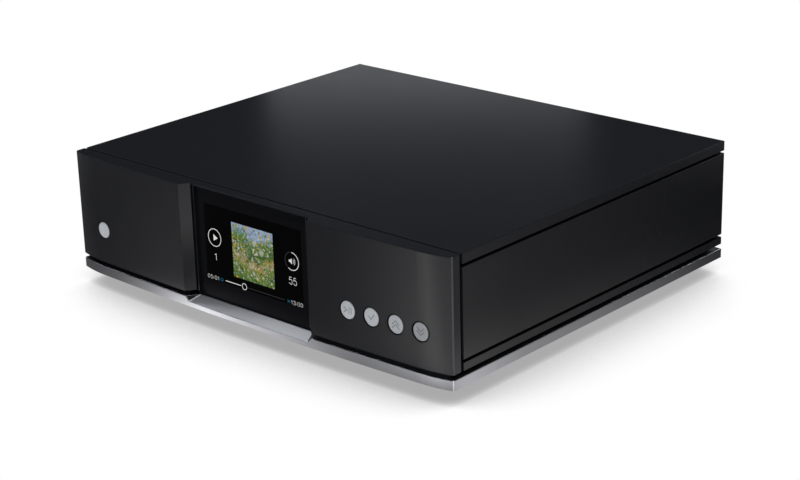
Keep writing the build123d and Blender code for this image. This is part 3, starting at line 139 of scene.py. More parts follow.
class ScreenSettings(bpy.types.PropertyGroup):
    """Sizes and places on the screen, measured from its middle and its lower edge."""

    picture_side: length_property("Picture side", "Side of the square picture", 37.7 * mm)
    picture_rise: length_property("Picture height", "Height of the picture's middle", 27.8 * mm)
    ring_reach: length_property("Ring distance", "Distance of the rings from the middle", 35.5 * mm)
    ring_rise: length_property("Ring height", "Height of the rings' middle", 32.0 * mm)
    ring_radius: length_property("Ring radius", "Outer radius of the rings", 6.2 * mm)
    ring_width: length_property("Ring width", "Width of the rings' line", 0.48 * mm)
    number_rise: length_property("Number height", "Height of the two large numbers' middle", 18.7 * mm)
    number_size: length_property("Number size", "Height of the two large numbers", 4.9 * mm)
    time_rise: length_property("Time height", "Height of the times and the line", 3.9 * mm)
    time_size: length_property("Time size", "Height of the times' digits", 2.6 * mm)
    line_width: length_property("Line width", "Width of the progress line", 0.5 * mm)
    relief: length_property("Relief", "How far the lit signs stand out of the glass", 0.06 * mm)


class StageSettings(bpy.types.PropertyGroup):
    """Camera, lamps and background."""

    azimuth: angle_property("Azimuth", "Direction of the camera round the case", 42.352)
    elevation: angle_property("Elevation", "Angle of the camera above the table", 20.099)
    roll: angle_property("Roll", "Turn of the picture about its middle", -1.505)
    lens: bpy.props.FloatProperty(
        name="Lens", description="Focal length in millimetres", default=87.25, min=1, unit="CAMERA"
    )
    camera_place: bpy.props.FloatVectorProperty(
        name="Camera place", description="Where the camera stands", default=(0.85539, -0.94138, 0.49202),
        subtype="TRANSLATION", size=3,
    )
    floor_half: length_property("Floor half width", "Half of the floor's side", 6.0)
    world_level: level_property("World level", "Strength of the light from all round")
    lamp_level: level_property("Lamp level", "Share of the lamps' full power")


class Pattern:
    """Node tree while its patterns are being laid out."""

    def __init__(self, tree):
        self.tree = tree

    def node(self, kind, sockets=None, **values):
        """New node with its values and its sockets' values or links."""
        node = self.tree.nodes.new(kind)
        for key, value in values.items():
            setattr(node, key, value)
        for key, value in (sockets or {}).items():
            self.feed(node.inputs[key], value)
        return node

    def feed(self, socket, value):
        """Link to the socket if the value is one, or else a constant."""
        if isinstance(value, bpy.types.NodeSocket):
            self.tree.links.new(value, socket)
        else:
            socket.default_value = value

    def math(self, operation, first, second=0.0, third=0.0):
        """Result of one sum."""
        return self.node("ShaderNodeMath", {0: first, 1: second, 2: third}, operation=operation).outputs[0]

    def times(self, first, second):
        """Product of two numbers."""
        return self.math("MULTIPLY", first, second)

    def spread(self, value, low, high, start=0.0, end=1.0):
        """Value moved into the range from low to high."""
        sockets = {"Value": value, "From Min": start, "From Max": end, "To Min": low, "To Max": high}
        return self.node("ShaderNodeMapRange", sockets).outputs[0]

    def between(self, share, first, second):
        """Number between two others."""
        return self.node("ShaderNodeMix", {0: share, 2: first, 3: second}).outputs[0]

    def ramp(self, value, stops):
        """Colour from a row of stops, each a place and a colour."""
        node = self.node("ShaderNodeValToRGB", {"Fac": value})
        while len(node.color_ramp.elements) < len(stops):
            node.color_ramp.elements.new(0.5)
        for element, (place, colour) in zip(node.color_ramp.elements, stops):
            element.position = place
            element.color = opaque(colour)
        return node.outputs["Color"]

    def curve(self, value, row, most=8.0):
        """Number up to most from a row of places, between -0.2 and 0.2 m, and levels."""
        stops = [((place + 0.2) / 0.4, (level / most,) * 3) for place, level in row]
        return self.times(self.ramp(self.spread(value, 0.0, 1.0, -0.2, 0.2), stops), most)


class Finish(Pattern):
    """One node material while its patterns are being laid out."""

    def __init__(self, name, colour, roughness, metallic=0.0, specular=0.5):
        self.material = bpy.data.materials.new(name)
        self.material.use_nodes = True
        super().__init__(self.material.node_tree)
        self.shader = self.tree.nodes["Principled BSDF"]
        self.colour = colour
        self.roughness = roughness
        self.set("Base Color", opaque(colour))
        self.set("Roughness", roughness)
        self.set("Metallic", metallic)
        self.set("Specular IOR Level", specular)
        self.coords = self.node("ShaderNodeTexCoord").outputs["Object"]

    def set(self, socket, value):
        """Constant on the shader's own socket, or a link to it."""
        self.feed(self.shader.inputs[socket], value)

    def placed(self, middle=(0, 0, 0), stretch=(1, 1, 1)):
        """Object coordinates measured from a middle and stretched along each axis."""
        moved = self.node("ShaderNodeMapping", {"Vector": self.coords, "Location": [-part for part in middle]})
        return self.node("ShaderNodeMapping", {"Vector": moved.outputs[0], "Scale": stretch}).outputs[0]

    def reach(self, middle):
        """Distance from the line along Y through a middle."""
        across = self.placed(middle, (1, 0, 1))
        return self.node("ShaderNodeVectorMath", {0: across}, operation="LENGTH").outputs["Value"]

    def noise(self, size, stretch=(1, 1, 1), detail=2.0):
        """Soft noise with marks about size metres across."""
        sockets = {"Vector": self.placed(stretch=stretch), "Scale": 1 / size, "Detail": detail}
        return self.node("ShaderNodeTexNoise", sockets).outputs[0]

    def cells(self, size, output="Distance"):
        """Pattern of cells about size metres across."""
        return self.node("ShaderNodeTexVoronoi", {"Vector": self.coords, "Scale": 1 / size}).outputs[output]

    def bands(self, size, direction, middle=(0, 0, 0), kind="BANDS"):
        """Even bands, or rings round an axis, size metres apart."""
        values = {"wave_type": kind, "bands_direction" if kind == "BANDS" else "rings_direction": direction}
        sockets = {"Vector": self.placed(middle), "Scale": math.tau / 20 / size}
        return self.node("ShaderNodeTexWave", sockets, **values).outputs["Fac"]

    def mix(self, share, first, second):
        """Colour between two others."""
        first = opaque(first) if isinstance(first, tuple) else first
        second = opaque(second) if isinstance(second, tuple) else second
        return self.node("ShaderNodeMix", {0: share, 6: first, 7: second}, data_type="RGBA").outputs[2]

    def paint(self, share, second):
        """Base colour that moves between the finish's colour and a second one."""
        self.set("Base Color", self.mix(share, self.colour, second))

    def vary_gloss(self, value, amount):
        """Roughness that moves by an amount each way."""
        low, high = self.roughness - amount, self.roughness + amount
        self.set("Roughness", self.spread(value, low, high))

    def raise_by(self, height, depth, strength=1.0):
        """Bump of the given depth in metres."""
        sockets = {"Height": height, "Distance": depth, "Strength": strength}
        self.set("Normal", self.node("ShaderNodeBump", sockets).outputs[0])

    def within(self, axis, low, high, soft):
        """One between two places along an axis and nought outside, with a soft edge."""
        place = self.node("ShaderNodeSeparateXYZ", {0: self.coords}).outputs[axis]
        rise = self.spread(place, 0.0, 1.0, low - soft, low + soft)
        fall = self.spread(place, 1.0, 0.0, high - soft, high + soft)
        return self.times(rise, fall)

    def corner_highlight_mask(self, low, high):
        """One on the upright edges at both ends of a bowed front, where a painted highlight goes."""
        parts = self.node("ShaderNodeSeparateXYZ", {0: self.coords}).outputs
        sideways = self.math("ABSOLUTE", parts[0])
        outer = self.spread(sideways, 0.0, 1.0, high.x - EDGE_WIDE, high.x - EDGE_NARROW)
        ends = low.y + BOW_RISE
        return self.times(outer, self.spread(parts[1], 1.0, 0.0, ends + EDGE_NARROW, ends + EDGE_WIDE))

    def turn_towards(self, socket, share, second):
        """Move what feeds a socket towards a second value or colour."""
        place = self.shader.inputs[socket]
        blend = self.mix if socket == "Base Color" else self.between
        self.feed(place, blend(share, place.links[0].from_socket, second))


def shade(colour, factor):
    """Colour made darker or lighter."""
    return tuple(min(1.0, part * factor) for part in colour)


def finishes():
    """Settings of the finishes."""
    return bpy.context.scene.streamer_finish


def middle_of(name):
    """Middle of one node's box."""
    return [(low + high) / 2 for low, high in zip(*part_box(name))]


def blasted(name, colour, roughness, specular=0.5, grain=0.35 * mm, depth=0.004 * mm):
    """Fine blasted and anodised metal, or a moulded skin: grain, cloudy gloss and slight change of colour."""
    finish = Finish(name, colour, roughness, specular=specular)
    finish.raise_by(finish.noise(grain, detail=3.0), depth)
    finish.vary_gloss(finish.noise(28 * mm, detail=4.0), 0.02)
    finish.paint(finish.noise(9 * mm, detail=6.0), shade(colour, 1.16))
    return finish


def brushed(name, colour, roughness, stretch, depth):
    """Metal brushed along one axis, with streaks in its gloss and colour."""
    finish = Finish(name, colour, roughness, metallic=1.0)
    streaks = finish.noise(0.3 * mm, stretch=stretch, detail=3.0)
    finish.raise_by(streaks, depth)
    finish.vary_gloss(streaks, 0.07)
    finish.paint(finish.noise(1.2 * mm, stretch=stretch, detail=5.0), shade(colour, 0.88))
    return finish


def spun(name, colour, roughness, middle, step=0.22 * mm):
    """Metal turned on a lathe: fine rings round the Y axis through its middle."""
    finish = Finish(name, colour, roughness, metallic=1.0)
    rings = finish.bands(step, "Y", middle, kind="RINGS")
    finish.raise_by(rings, 0.002 * mm, 0.6)
    finish.vary_gloss(rings, 0.04)
    return finish


def plated(name, code, roughness, flake):
    """Plated sheet or turned metal with faint crystals and wiped gloss."""
    colour = linear(code)
    finish = Finish(name, colour, roughness, metallic=1.0)
    finish.vary_gloss(finish.noise(6 * mm, detail=5.0), 0.06)
    finish.paint(finish.cells(flake, "Color"), shade(colour, 0.82))
    finish.raise_by(finish.noise(0.8 * mm, detail=3.0), 0.004 * mm)
    return finish


def moulded(name, code, roughness, grain):
    """Moulded plastic or rubber with a spark-eroded grain."""
    colour = linear(code)
    finish = Finish(name, colour, roughness)
    finish.raise_by(finish.cells(grain), 0.012 * mm)
    finish.vary_gloss(finish.noise(10 * mm), 0.05)
    finish.paint(finish.noise(4 * mm, detail=4.0), shade(colour, 1.3))
    return finish


def satin_black(name):
    """Satin black of the case under a name of its own."""
    look = finishes()
    return blasted(name, tuple(look.case_black), look.case_gloss, specular=0.2)


def case_finish():
    """Satin black of every plate of the case, duller along the body's front edge."""
    finish = satin_black("black_anodised")
    edge = finish.within(1, cover_low.y - 0.2 * mm, cover_low.y + 0.4 * mm, SKIN)
    finish.turn_towards("Roughness", edge, 0.95)
    return finish


def front_finish():
    """Satin black of the front panel: a painted highlight on the upright edges, and a thin ring of painted
    shade round each button.
    """
    finish = satin_black("front_anodised")
    rings = 0.0
    for name in BUTTONS:
        low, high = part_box(name)
        hole = (high.z - low.z) / 2 - FLANGE_LIP
        ring = finish.spread(finish.reach(middle_of(name)), 1.0, 0.0, *(hole + edge for edge in SHADE_RING_EDGE))
        rings = finish.math("MAXIMUM", ring, rings)
    # Painted highlight on the upright corner edges.
    finish.turn_towards("Base Color", finish.corner_highlight_mask(panel_low, panel_high), linear("#56565a"))
    # Painted shade in a thin dark ring round each button's hole, which is also made rough.
    finish.turn_towards("Base Color", rings, linear("#020202"))
    finish.turn_towards("Roughness", rings, 0.9)
    return finish


def plate_finish():
    """Silver plate, brushed along the width, with soft edges; the ramp painted paler and less metallic as a
    painted sheen, painted shade on the leaning walls at its ends, a painted highlight and a painted shade line
    where the walls meet the ramp, and painted highlights on the upright corner edges.
    """
    finish = brushed("silver_anodised", tuple(finishes().plate_silver), 0.36, (0.01, 1, 1), 0.004 * mm)
    broken = finish.node("ShaderNodeBevel", {"Radius": 0.35 * mm}, samples=6)
    bump = finish.shader.inputs["Normal"].links[0].from_node
    finish.feed(bump.inputs["Normal"], broken.outputs[0])
    parts = finish.node("ShaderNodeSeparateXYZ", {0: finish.coords}).outputs
    sideways = finish.math("ABSOLUTE", parts[0])
    top, edge = plate_high.z, plate_low.y + RAMP_LIP
    back = edge + RAMP_RUN
    wide = finish.within(0, -RAMP_HALF, RAMP_HALF, 0.2 * mm)
    ramp_sheen = finish.times(wide, finish.within(2, top - RAMP_DROP, top - SKIN, SKIN))
    ramp_sheen = finish.times(ramp_sheen, finish.spread(parts[1], 1.0, 0.0, back, back + 0.2 * mm))
    foot = finish.math("SUBTRACT", sideways, WALL_FOOT + WALL_SLANT * edge)
    beyond = finish.math("MULTIPLY_ADD", parts[1], WALL_SLANT, foot)
    inside = finish.within(1, edge + 0.2 * mm, back, SKIN)
    deep = finish.within(2, top - RAMP_DROP - 0.15 * mm, top - SKIN, 0.03 * mm)
    narrow = finish.spread(sideways, 1.0, 0.0, WALL_HEAD, WALL_HEAD + 0.3 * mm)
    cut = finish.times(finish.times(inside, deep), narrow)
    wall = finish.times(cut, finish.spread(beyond, 0.0, 1.0, 0.0, 0.1 * mm))
    crest_highlight_and_shade = finish.times(cut, finish.spread(beyond, 0.0, 1.0, -1.0 * mm, -0.8 * mm))
    right = finish.spread(parts[0], 0.0, 1.0, -1.0 * mm, 1.0 * mm)
    # Painted sheen: the ramp painted paler, standing in for the light its brushing catches.
    finish.turn_towards("Base Color", ramp_sheen, linear("#b0b0b3"))
    # Painted highlight where the left wall meets the ramp, painted shade where the right one does.
    finish.turn_towards("Base Color", crest_highlight_and_shade, finish.mix(right, linear("#fafafa"), linear("#2c2c2d")))
    # Painted shade on the leaning walls at the ramp's ends.
    finish.turn_towards("Base Color", wall, linear("#1c1c1d"))
    # Painted highlight on the upright corner edges.
    finish.turn_towards("Base Color", finish.corner_highlight_mask(plate_low, plate_high), linear("#f4f4f6"))
    # The painted ramp and walls are made less metallic, so that their painted colours show.
    finish.set("Metallic", finish.spread(finish.math("MAXIMUM", ramp_sheen, cut), 1.0, 0.4))
    return finish


def board_finish():
    """Green board with fine tracks under the lacquer and tinned spots."""
    green = linear("#0e4a2a")
    finish = Finish("green_board", green, 0.38)
    tracks = finish.math("GREATER_THAN", finish.cells(2.6 * mm, "Distance"), 0.42)
    finish.paint(tracks, linear("#17613a"))
    finish.raise_by(tracks, 0.03 * mm, 0.5)
    finish.vary_gloss(finish.noise(3 * mm), 0.06)
    return finish


def heatsink_finish():
    """Black extrusion with drawing lines up and down."""
    finish = blasted("black_heatsink", linear("#141416"), 0.46)
    finish.raise_by(finish.noise(0.4 * mm, stretch=(1, 1, 0.03)), 0.01 * mm)
    return finish


def capacitor_finish():
    """Dark sleeve with a pale stripe down one side and bare metal at the crown."""
    blue = linear("#16213a")
    finish = Finish("capacitor_sleeve", blue, 0.36)
    low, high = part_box("filter_capacitors")
    crown = finish.within(2, high.z - 0.5 * mm, high.z + mm, 0.05 * mm)
    stripe = finish.within(1, low.y - mm, low.y + 1.2 * mm, 0.1 * mm)
    pale = linear("#c9ccd0")
    body = finish.mix(stripe, blue, pale)
    finish.set("Base Color", finish.mix(crown, body, linear("#9a9c9f")))
    finish.set("Metallic", crown)
    finish.raise_by(finish.noise(1.5 * mm), 0.01 * mm)
    finish.vary_gloss(finish.noise(5 * mm), 0.05)
    return finish


def winding_finish():
    """Tape wound round the transformers' cores."""
    amber = linear("#5a4a22")
    finish = Finish("wound_steel", amber, 0.34)
    wraps = finish.noise(1.6 * mm, stretch=(1, 1, 0.06), detail=3.0)
    finish.paint(finish.spread(wraps, 0, 1, 0.35, 0.65), linear("#8c7434"))
    finish.raise_by(wraps, 0.12 * mm)
    finish.vary_gloss(wraps, 0.06)
    return finish


def fuse_finish():
    """Glass tube with plated caps."""
    glass = linear("#cfd6d8")
    finish = Finish("clear_fuse", glass, 0.12)
    low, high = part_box("mains_fuse")
    tube = finish.within(0, low.x + 5 * mm, high.x - 5 * mm, 0.05 * mm)
    finish.set("Metallic", finish.math("SUBTRACT", 1.0, tube))
    finish.paint(finish.noise(1.5 * mm), shade(glass, 0.85))
    finish.vary_gloss(finish.noise(4 * mm), 0.04)
    finish.raise_by(finish.noise(0.8 * mm), 0.003 * mm)
    return finish


def ribbon_finish():
    """Grey ribbon with its wires side by side."""
    grey = linear("#8e9093")
    finish = Finish("grey_ribbon", grey, 0.45)
    wires = finish.bands(1.27 * mm, "X")
    finish.paint(wires, shade(grey, 1.2))
    finish.raise_by(wires, 0.15 * mm)
    finish.vary_gloss(finish.noise(3 * mm), 0.04)
    return finish


def wire_finish():
    """Soft sleeve of the mains wires: the outer ones brown, the inner ones blue or striped green."""
    brown = linear("#4a2a16")
    finish = Finish("wire_sleeve", brown, 0.4)
    inlet, rocker = middle_of("mains_inlet")[0], middle_of("mains_rocker")[0]
    blue = finish.math(
        "ADD",
        finish.within(0, inlet + 4 * mm, inlet + 12 * mm, 0.1 * mm),
        finish.within(0, rocker, rocker + 8 * mm, 0.1 * mm),
    )
    earth = finish.within(0, inlet - 3 * mm, inlet + 3 * mm, 0.1 * mm)
    spiral = finish.math("GREATER_THAN", finish.bands(4 * mm, "DIAGONAL"), 0.6)
    striped = finish.mix(spiral, linear("#2f6b34"), linear("#c9b52e"))
    coloured = finish.mix(blue, brown, linear("#1d3f7c"))
    finish.set("Base Color", finish.mix(earth, coloured, striped))
    finish.raise_by(finish.noise(1.2 * mm), 0.01 * mm)
    finish.vary_gloss(finish.noise(4 * mm), 0.05)
    return finish


def glass_finish():
    """Black glass: printed edge, the unlit screen a shade darker behind it, and faint wipe marks."""
    look = finishes()
    finish = Finish("tinted_glass", tuple(look.glass_black), 0.08, specular=0.01)
    inset = 3.0 * mm
    wide = finish.within(0, module_low.x + inset, module_high.x - inset, 0.3 * mm)
    tall = finish.within(2, module_low.z + 2 * mm, module_high.z - 2 * mm, 0.3 * mm)
    field = finish.times(wide, tall)
    finish.paint(field, tuple(look.field_black))
    wiped = finish.noise(16 * mm, stretch=(1, 1, 0.4), detail=5.0)
    finish.vary_gloss(wiped, 0.025)
    finish.raise_by(finish.noise(30 * mm), 0.01 * mm)
    return finish


MOULDED = {
    "black_rubber": ("#101011", 0.82, 0.9 * mm),
    "black_plastic": ("#0f0f10", 0.42, 0.6 * mm),
    "chip_black": ("#131314", 0.62, 0.4 * mm),
    "screen": ("#0b0b0c", 0.3, 1.1 * mm),
}
PLATED = {
    "screw_steel": ("#3a3a3d", 0.36, 1.2 * mm),
    "plain_steel": ("#a2a5a8", 0.34, 7 * mm),
    "tin_plate": ("#b9bbbd", 0.26, 4 * mm),
    "nickel": ("#b5b2aa", 0.2, 2 * mm),
    "gold_brass": ("#d3a545", 0.2, 2 * mm),
}
OTHER_FINISHES = {
    "black_anodised": case_finish,
    "silver_anodised": plate_finish,
    "green_board": board_finish,
    "black_heatsink": heatsink_finish,
    "capacitor_sleeve": capacitor_finish,
    "wound_steel": winding_finish,
    "tinted_glass": glass_finish,
    "clear_fuse": fuse_finish,
    "grey_ribbon": ribbon_finish,
    "wire_sleeve": wire_finish,
}
made_finishes = {}
dressed = set()


def finish_of(slot):
    """Finish of one slot."""
    if slot in MOULDED:
        return moulded(slot, *MOULDED[slot])
    return plated(slot, *PLATED[slot]) if slot in PLATED else OTHER_FINISHES[slot]()


def dress(*names):
    """Give carried-over nodes the finish of their slot."""
    for name in names:
        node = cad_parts[name]
        slot = node.data.materials[0].name.split(".")[0] if name not in dressed else node["finish_slot"]
        node["finish_slot"] = slot
        if slot not in made_finishes:
            made_finishes[slot] = finish_of(slot).material
        node.data.materials[0] = made_finishes[slot]
        dressed.add(name)


def deselect():
    """Leave edit mode and select nothing."""
    if bpy.context.object and bpy.context.object.mode != "OBJECT":
        bpy.ops.object.mode_set(mode="OBJECT")
    bpy.ops.object.select_all(action="DESELECT")


def select_only(piece):
    """Select one piece and make it active."""
    deselect()
    piece.select_set(True)
    bpy.context.view_layer.objects.active = piece


def keep_place():
    """Move the active piece's place, turn and scale into its mesh."""
    bpy.ops.object.transform_apply(location=True, rotation=True, scale=True)


def start_edit(piece):
    """Edit one piece with all of it selected."""
    select_only(piece)
    bpy.ops.object.mode_set(mode="EDIT")
    bpy.ops.mesh.select_all(action="SELECT")


def settle(piece, name, finish, body="case"):
    """Name a finished piece, keep its place in its mesh, turn its faces outwards and let it ride."""
    select_only(piece)
    keep_place()
    start_edit(piece)
    bpy.ops.mesh.remove_doubles(threshold=0.001 * mm)
    bpy.ops.mesh.normals_make_consistent(inside=False)
    bpy.ops.object.mode_set(mode="OBJECT")
    piece.name = name
    piece.data.name = name
    piece.data.materials.clear()
    piece.data.materials.append(finish)
    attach(piece, body)
    return piece


DOT_PITCH = 0.24 * mm


def lit_finish(name, colour):
    """Lit part of the screen, with the fine rows of its dots."""
    finish = Finish(name, shade(colour, 0.05), 0.12, specular=0.03)
    dots = finish.times(finish.bands(DOT_PITCH, "Z"), finish.bands(DOT_PITCH, "X"))
    finish.set("Emission Color", finish.mix(dots, shade(colour, 0.82), colour))
    finish.set("Emission Strength", 1.0)
    finish.vary_gloss(finish.noise(5 * mm), 0.02)
    return finish.material


def lit(name):
    """Lit finish by name, made once."""
    if name not in made_finishes:
        made_finishes[name] = lit_finish(name, tuple(getattr(finishes(), name)))
    return made_finishes[name]


def stand_out(piece):
    """Give a flat sign in front of the glass its thickness, half of it inside the glass."""
    relief = bpy.context.scene.streamer_screen.relief
    start_edit(piece)
    bpy.ops.mesh.extrude_region_move(TRANSFORM_OT_translate={"value": (0, -2 * relief, 0)})
    bpy.ops.mesh.select_all(action="SELECT")
    bpy.ops.transform.translate(value=(0, relief, 0))
    bpy.ops.object.mode_set(mode="OBJECT")


def front_plate(x, z, width, height, lean=0.0):
    """Flat rectangle that faces the front."""
    deselect()
    bpy.ops.mesh.primitive_plane_add(size=1, location=(x, glass_face, z), rotation=(math.pi / 2, -lean, 0))
    piece = bpy.context.object
    piece.scale = (width, height, 1)
    keep_place()
    return piece


def front_disc(x, z, radius, corners, spin=0.0):
    """Flat filled polygon that faces the front."""
    deselect()
    bpy.ops.mesh.primitive_circle_add(
        vertices=corners, radius=radius, fill_type="NGON", location=(x, glass_face, z),
        rotation=(math.pi / 2, spin, 0),
    )
    piece = bpy.context.object
    keep_place()
    return piece


def hollow_out(piece, width):
    """Turn a filled outline into a line of the given width."""
    start_edit(piece)
    bpy.ops.mesh.inset(thickness=width, depth=0)
    bpy.ops.mesh.delete(type="FACE")
    bpy.ops.object.mode_set(mode="OBJECT")


def keep_faces(piece, wanted):
    """Delete the faces whose middle the test doesn't want."""
    start_edit(piece)
    bpy.ops.mesh.select_all(action="DESELECT")
    bpy.ops.mesh.select_mode(type="FACE")
    bpy.ops.object.mode_set(mode="OBJECT")
    for face in piece.data.polygons:
        face.select = not wanted(face.center)
    bpy.ops.object.mode_set(mode="EDIT")
    bpy.ops.mesh.delete(type="FACE")
    bpy.ops.object.mode_set(mode="OBJECT")


def ring_sign(name, x, z, radius, width, finish, start=0.0, end=360.0):
    """Ring, or part of one between two angles that run clockwise from the top."""
    ring = front_disc(x, z, radius, 96)
    hollow_out(ring, width)

    def wanted(place):
        turn = math.degrees(math.atan2(place.x - x, place.z - z)) % 360
        return start <= turn < end

    if end - start < 360:
        keep_faces(ring, wanted)
    stand_out(ring)
    return settle(ring, name, lit(finish))


def stroke_sign(name, start, end, finish, width):
    """Straight stroke with round ends between two places on the screen, each x and z."""
    start, end = Vector(start), Vector(end)
    middle, reach = (start + end) / 2, end - start
    stroke = front_plate(*middle, reach.length + width, width, math.atan2(reach.y, reach.x))
    start_edit(stroke)
    bpy.ops.mesh.bevel(offset=width * 0.49, segments=6, affect="VERTICES")
    bpy.ops.object.mode_set(mode="OBJECT")
    stand_out(stroke)
    return settle(stroke, name, lit(finish))


DIGITS = {
    "0": (0.6, True, [(0, 0.5), (0, 1), (0.6, 1), (0.6, 0.5), (0.6, 0), (0, 0)]),
    "1": (0.32, False, [(0, 0.76), (0.27, 1), (0.27, 1), (0.27, 0)]),
    "3": (0.6, False, [
        (0.02, 0.84), (0.12, 1.02), (0.58, 1.05), (0.56, 0.53), (0.24, 0.55), (0.24, 0.55), (0.63, 0.56),
        (0.65, -0.05), (0.08, -0.06), (0, 0.17),
    ]),
    "5": (0.6, False, [
        (0.54, 1), (0.11, 1), (0.11, 1), (0.05, 0.52), (0.05, 0.52), (0.17, 0.66), (0.62, 0.66), (0.64, -0.04),
        (0.12, -0.07), (0, 0.16),
    ]),
}
DIGIT_GAP = 0.34
COLON = [[(0.0, height), (0.08, height)] for height in (0.2, 0.3, 0.68, 0.78)]


def number_sign(name, text, x, z, size, wide, thick):
    """Number drawn in even strokes, of the given height and width, with its middle at a place on the screen."""
    strokes, at = [], 0.0
    for mark in text:
        width, closed, points = DIGITS.get(mark, (0.1, False, None))
        for line in [points] if points else COLON:
            strokes.append((closed, [(at + u, v) for u, v in line]))
        at += width + DIGIT_GAP
    whole = at - DIGIT_GAP
    deselect()
    bpy.ops.curve.primitive_bezier_curve_add(location=(0, 0, 0))
    sign = bpy.context.object
    sign.data.splines.clear()
    sign.data.dimensions = "3D"
    for closed, line in strokes:
        spline = sign.data.splines.new("NURBS")
        spline.points.add(len(line) - 1)
        for point, (u, v) in zip(spline.points, line):
            place = ((u - whole / 2) * wide / whole, 0, (v - 0.5) * (size - thick))
            point.co = (*place, 1)
        spline.order_u = 3
        spline.use_endpoint_u = not closed
        spline.use_cyclic_u = closed
        spline.resolution_u = 6
    sign.data.bevel_depth = thick / 2
    sign.data.bevel_resolution = 2
    sign.data.use_fill_caps = True
    select_only(sign)
    bpy.ops.object.convert(target="MESH")
    sign = bpy.context.object
    relief = bpy.context.scene.streamer_screen.relief
    sign.scale = (1, 2 * relief / thick, 1)
    sign.location = (x, glass_face, z)
    return settle(sign, name, lit("lit_white"))


SPEAKER_BACK = 2.1 * mm
SPEAKER_BOX = (1.1 * mm, 1.5 * mm)
CONE_LENGTH, CONE_FLARE = 1.5 * mm, 2.7
WAVE_RADII, WAVE_WIDTH, WAVE_BACK = (2.0 * mm, 3.3 * mm), 0.34 * mm, 0.4 * mm


def speaker_sign(x, z):
    """Speaker with its cone opening to the right, and two waves beside it."""
    speaker = front_plate(x - SPEAKER_BACK, z, *SPEAKER_BOX)
    start_edit(speaker)
    bpy.ops.mesh.select_mode(type="EDGE")
    bpy.ops.mesh.select_all(action="DESELECT")
    bpy.ops.object.mode_set(mode="OBJECT")
    for edge in speaker.data.edges:
        ends = [speaker.data.vertices[i].co.x for i in edge.vertices]
        edge.select = min(ends) > x - SPEAKER_BACK
    bpy.ops.object.mode_set(mode="EDIT")
    bpy.ops.mesh.extrude_region_move(TRANSFORM_OT_translate={"value": (CONE_LENGTH, 0, 0)})
    bpy.ops.transform.resize(value=(1, 1, CONE_FLARE), center_override=(x, glass_face, z))
    bpy.ops.object.mode_set(mode="OBJECT")
    stand_out(speaker)
    settle(speaker, "speaker_mark", lit("lit_white"))
    for i, radius in enumerate(WAVE_RADII):
        ring_sign(f"speaker_wave_{i + 1}", x - WAVE_BACK, z, radius, WAVE_WIDTH, "lit_white", 50.0, 130.0)


PICTURE_BANDS = (
    (0.0, "#3f6428"), (0.22, "#5f7a34"), (0.38, "#a88f58"), (0.48, "#5d6e30"), (0.6, "#3c5c26"),
    (0.76, "#557a44"), (0.9, "#8fa6c8"),
)
PATCH_COLOURS = (
    (0.0, "#20381a"), (0.16, "#5f8432"), (0.3, "#c9b27c"), (0.42, "#2f5226"), (0.55, "#943c30"),
    (0.66, "#6f6cae"), (0.78, "#d8d2c4"), (0.9, "#4d7a3c"), (1.0, "#c99a2a"),
)
# Scale and strength of each layer of patches.
PATCH_LAYERS = ((5.0, 0.55), (11.0, 0.85), (19.0, 0.9), (31.0, 0.6))


def picture_finish(middle, side):
    """Generic pattern of small muted patches on soft bands."""
    finish = Finish("screen_picture", linear("#101010"), 0.12, specular=0.03)
    coords = finish.placed(middle, (1 / side, 1 / side, 1 / side))
    parts = finish.node("ShaderNodeSeparateXYZ", {0: coords}).outputs
    wave = finish.math("SINE", finish.math("MULTIPLY_ADD", parts[0], 6.0, 0.9))
    rough = finish.node("ShaderNodeTexNoise", {"Vector": coords, "Scale": 7.0, "Detail": 6.0}).outputs[0]
    level = finish.math("MULTIPLY_ADD", wave, 0.08, parts[2])
    level = finish.math("ADD", level, finish.math("MULTIPLY_ADD", rough, 0.5, 0.25))
    picture = finish.ramp(level, [(place, linear(code)) for place, code in PICTURE_BANDS])
    kinds = [(place, linear(code)) for place, code in PATCH_COLOURS]
    for scale, share in PATCH_LAYERS:
        cells = finish.node("ShaderNodeTexVoronoi", {"Vector": coords, "Scale": scale})
        channels = finish.node("ShaderNodeSeparateColor", {0: cells.outputs["Color"]}).outputs
        near = finish.spread(cells.outputs["Distance"], share, 0.0, 0.26, 0.44)
        picture = finish.mix(near, picture, finish.ramp(channels[1], kinds))
    finish.set("Emission Color", picture)
    finish.set("Emission Strength", 0.85)
    finish.vary_gloss(rough, 0.02)
    return finish.material


class STREAMER_OT_case(bpy.types.Operator):
    """Finish the black plates of the case and its feet"""

    bl_idname = "streamer.case"
    bl_label = "Case"

    def execute(self, context):
        dress(
            "plinth_plate", "chassis_base", "side_strips", "left_side_panel", "right_side_panel", "top_cover",
            "front_panel", "front_carrier", "display_hood", "rear_panel", "feet", "foot_pads",
        )
        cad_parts["front_panel"].data.materials[0] = front_finish().material
        return {"FINISHED"}


class STREAMER_OT_base(bpy.types.Operator):
    """Finish the silver base plate"""

    bl_idname = "streamer.base"
    bl_label = "Base plate"

    def execute(self, context):
        dress("base_plate")
        return {"FINISHED"}


class STREAMER_OT_glass(bpy.types.Operator):
    """Finish the display's glass, gasket and screen module"""

    bl_idname = "streamer.glass"
    bl_label = "Display glass"

    def execute(self, context):
        dress("display_glass", "display_gasket", "screen_module")
        return {"FINISHED"}


class STREAMER_OT_picture(bpy.types.Operator):
    """Make the square picture on the screen"""

    bl_idname = "streamer.picture"
    bl_label = "Picture"

    def execute(self, context):
        screen = context.scene.streamer_screen
        middle = (0.0, glass_face, screen_foot + screen.picture_rise)
        picture = front_plate(0.0, middle[2], screen.picture_side, screen.picture_side)
        start_edit(picture)
        bpy.ops.mesh.bevel(offset=0.25 * mm, segments=3, affect="VERTICES")
        bpy.ops.object.mode_set(mode="OBJECT")
        stand_out(picture)
        settle(picture, "screen_picture", picture_finish(middle, screen.picture_side))
        return {"FINISHED"}


PLAY_SHIFT, PLAY_RADIUS = 0.3 * mm, 2.6 * mm
VOLUME_TURN = 215.0


